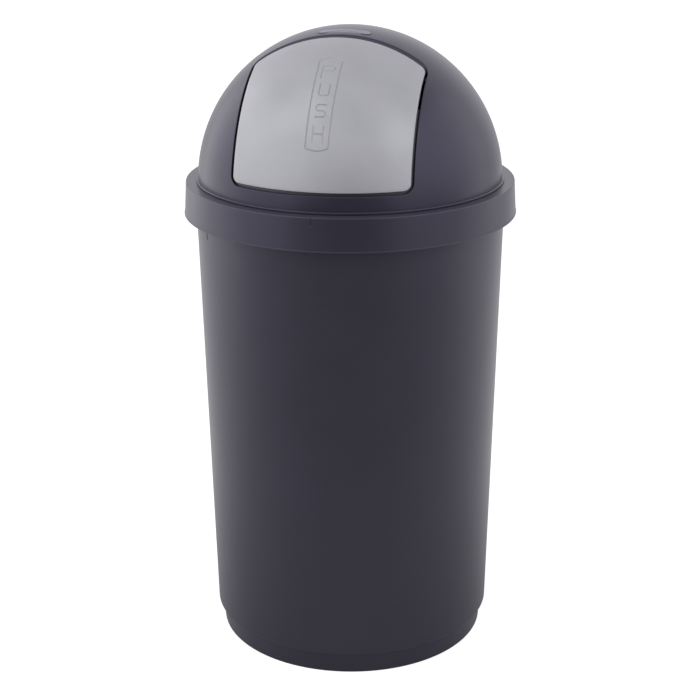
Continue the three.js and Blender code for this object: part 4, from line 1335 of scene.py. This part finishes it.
# The floor glows for the camera and in reflections. There it glows less near the object, and less
# the further a place lies towards the camera, by the dot product of the place and that direction.
def makeFloor():
    bpy.ops.mesh.primitive_plane_add(size=studio["floorSize"])
    floor = bpy.context.object
    floor.name = "floor"
    n = Nodes(bpy.data.materials.new("floor"))
    floor.data.materials.append(n.material)
    rays = n.add("ShaderNodeLightPath").outputs
    forwards = n.vectorMaths("DOT_PRODUCT", n.place, towards(camera["turn"]))
    shade = n.ranged(forwards, *studio["floorShade"], studio["floorShine"], 0)
    fade = n.ranged(n.vectorMaths("LENGTH", n.place), *studio["floorFade"], 0, 1)
    shine = n.maths("MULTIPLY", rays["Is Glossy Ray"], n.maths("MULTIPLY", shade, fade))
    glow = n.maths("MULTIPLY_ADD", rays["Is Camera Ray"], studio["floorGlow"], shine)
    n.set(Base_Color=studio["floorColour"], Roughness=1.0, Specular_IOR_Level=0.0)
    n.set(Emission_Color=(1, 1, 1, 1), Emission_Strength=glow)


# The room: white for camera and transmitted rays, a diffuse light that is weaker overhead than
# at the sides, and for reflections pale walls and a brighter ceiling, with the gap towards the
# camera.
def makeRoom():
    world = bpy.data.worlds.new("room")
    bpy.context.scene.world = world
    n = Nodes(world, "Background")
    rays = n.add("ShaderNodeLightPath").outputs
    direction = n.coordinates.outputs["Generated"]
    height = n.separated(direction)["Z"]
    forwards = n.vectorMaths("DOT_PRODUCT", direction, towards(camera["turn"]))
    gap = n.ranged(forwards, *studio["gapRange"], studio["roomLevel"], studio["gapLevel"], "SMOOTHSTEP")
    ceiling = n.ranged(height, *studio["ceilingRange"], *studio["ceilingLevels"], "SMOOTHSTEP")
    diffuse = n.ranged(height, 0, 1, *studio["diffuseLevels"], "SMOOTHSTEP")
    level = n.either(rays["Is Glossy Ray"], diffuse, n.maths("MULTIPLY", gap, ceiling))
    seen = n.maths("MAXIMUM", rays["Is Camera Ray"], rays["Is Transmission Ray"])
    n.set(Color=(1, 1, 1, 1), Strength=n.either(seen, level, 1.0))


# A panel's power follows from its level: radiance is power over pi times its area.
def makePanel(panel):
    lamp = bpy.data.lights.new(panel["name"], "AREA")
    lamp.shape = "RECTANGLE"
    lamp.size, lamp.size_y = panel["size"]
    lamp.energy = panel["level"] * math.pi * lamp.size * lamp.size_y
    away = towards(camera["turn"] + panel["turn"], panel["rise"]) * panel["distance"]
    holder = bpy.data.objects.new(panel["name"], lamp)
    bpy.context.scene.collection.objects.link(holder)
    holder.location = away + Vector((0, 0, panel["aim"]))
    holder.rotation_euler = (-away).to_track_quat("-Z", "Y").to_euler()


def makeCamera():
    lens = bpy.data.cameras.new("camera")
    lens.lens, lens.sensor_width = camera["lens"], camera["sensor"]
    lens.shift_x, lens.shift_y = camera["shift"]
    lens.clip_start, lens.clip_end = camera["clip"]
    viewer = bpy.data.objects.new("camera", lens)
    bpy.context.scene.collection.objects.link(viewer)
    viewer.location = camera["place"]
    turns = (90 - camera["pitch"], camera["roll"], camera["turn"])
    viewer.rotation_euler = [math.radians(turn) for turn in turns]
    bpy.context.scene.camera = viewer


makeFloor()
makeRoom()
for panel in panels:
    makePanel(panel)
makeCamera()
bpy.context.scene.view_settings.view_transform = "Standard"
print("stage, lights and camera made")
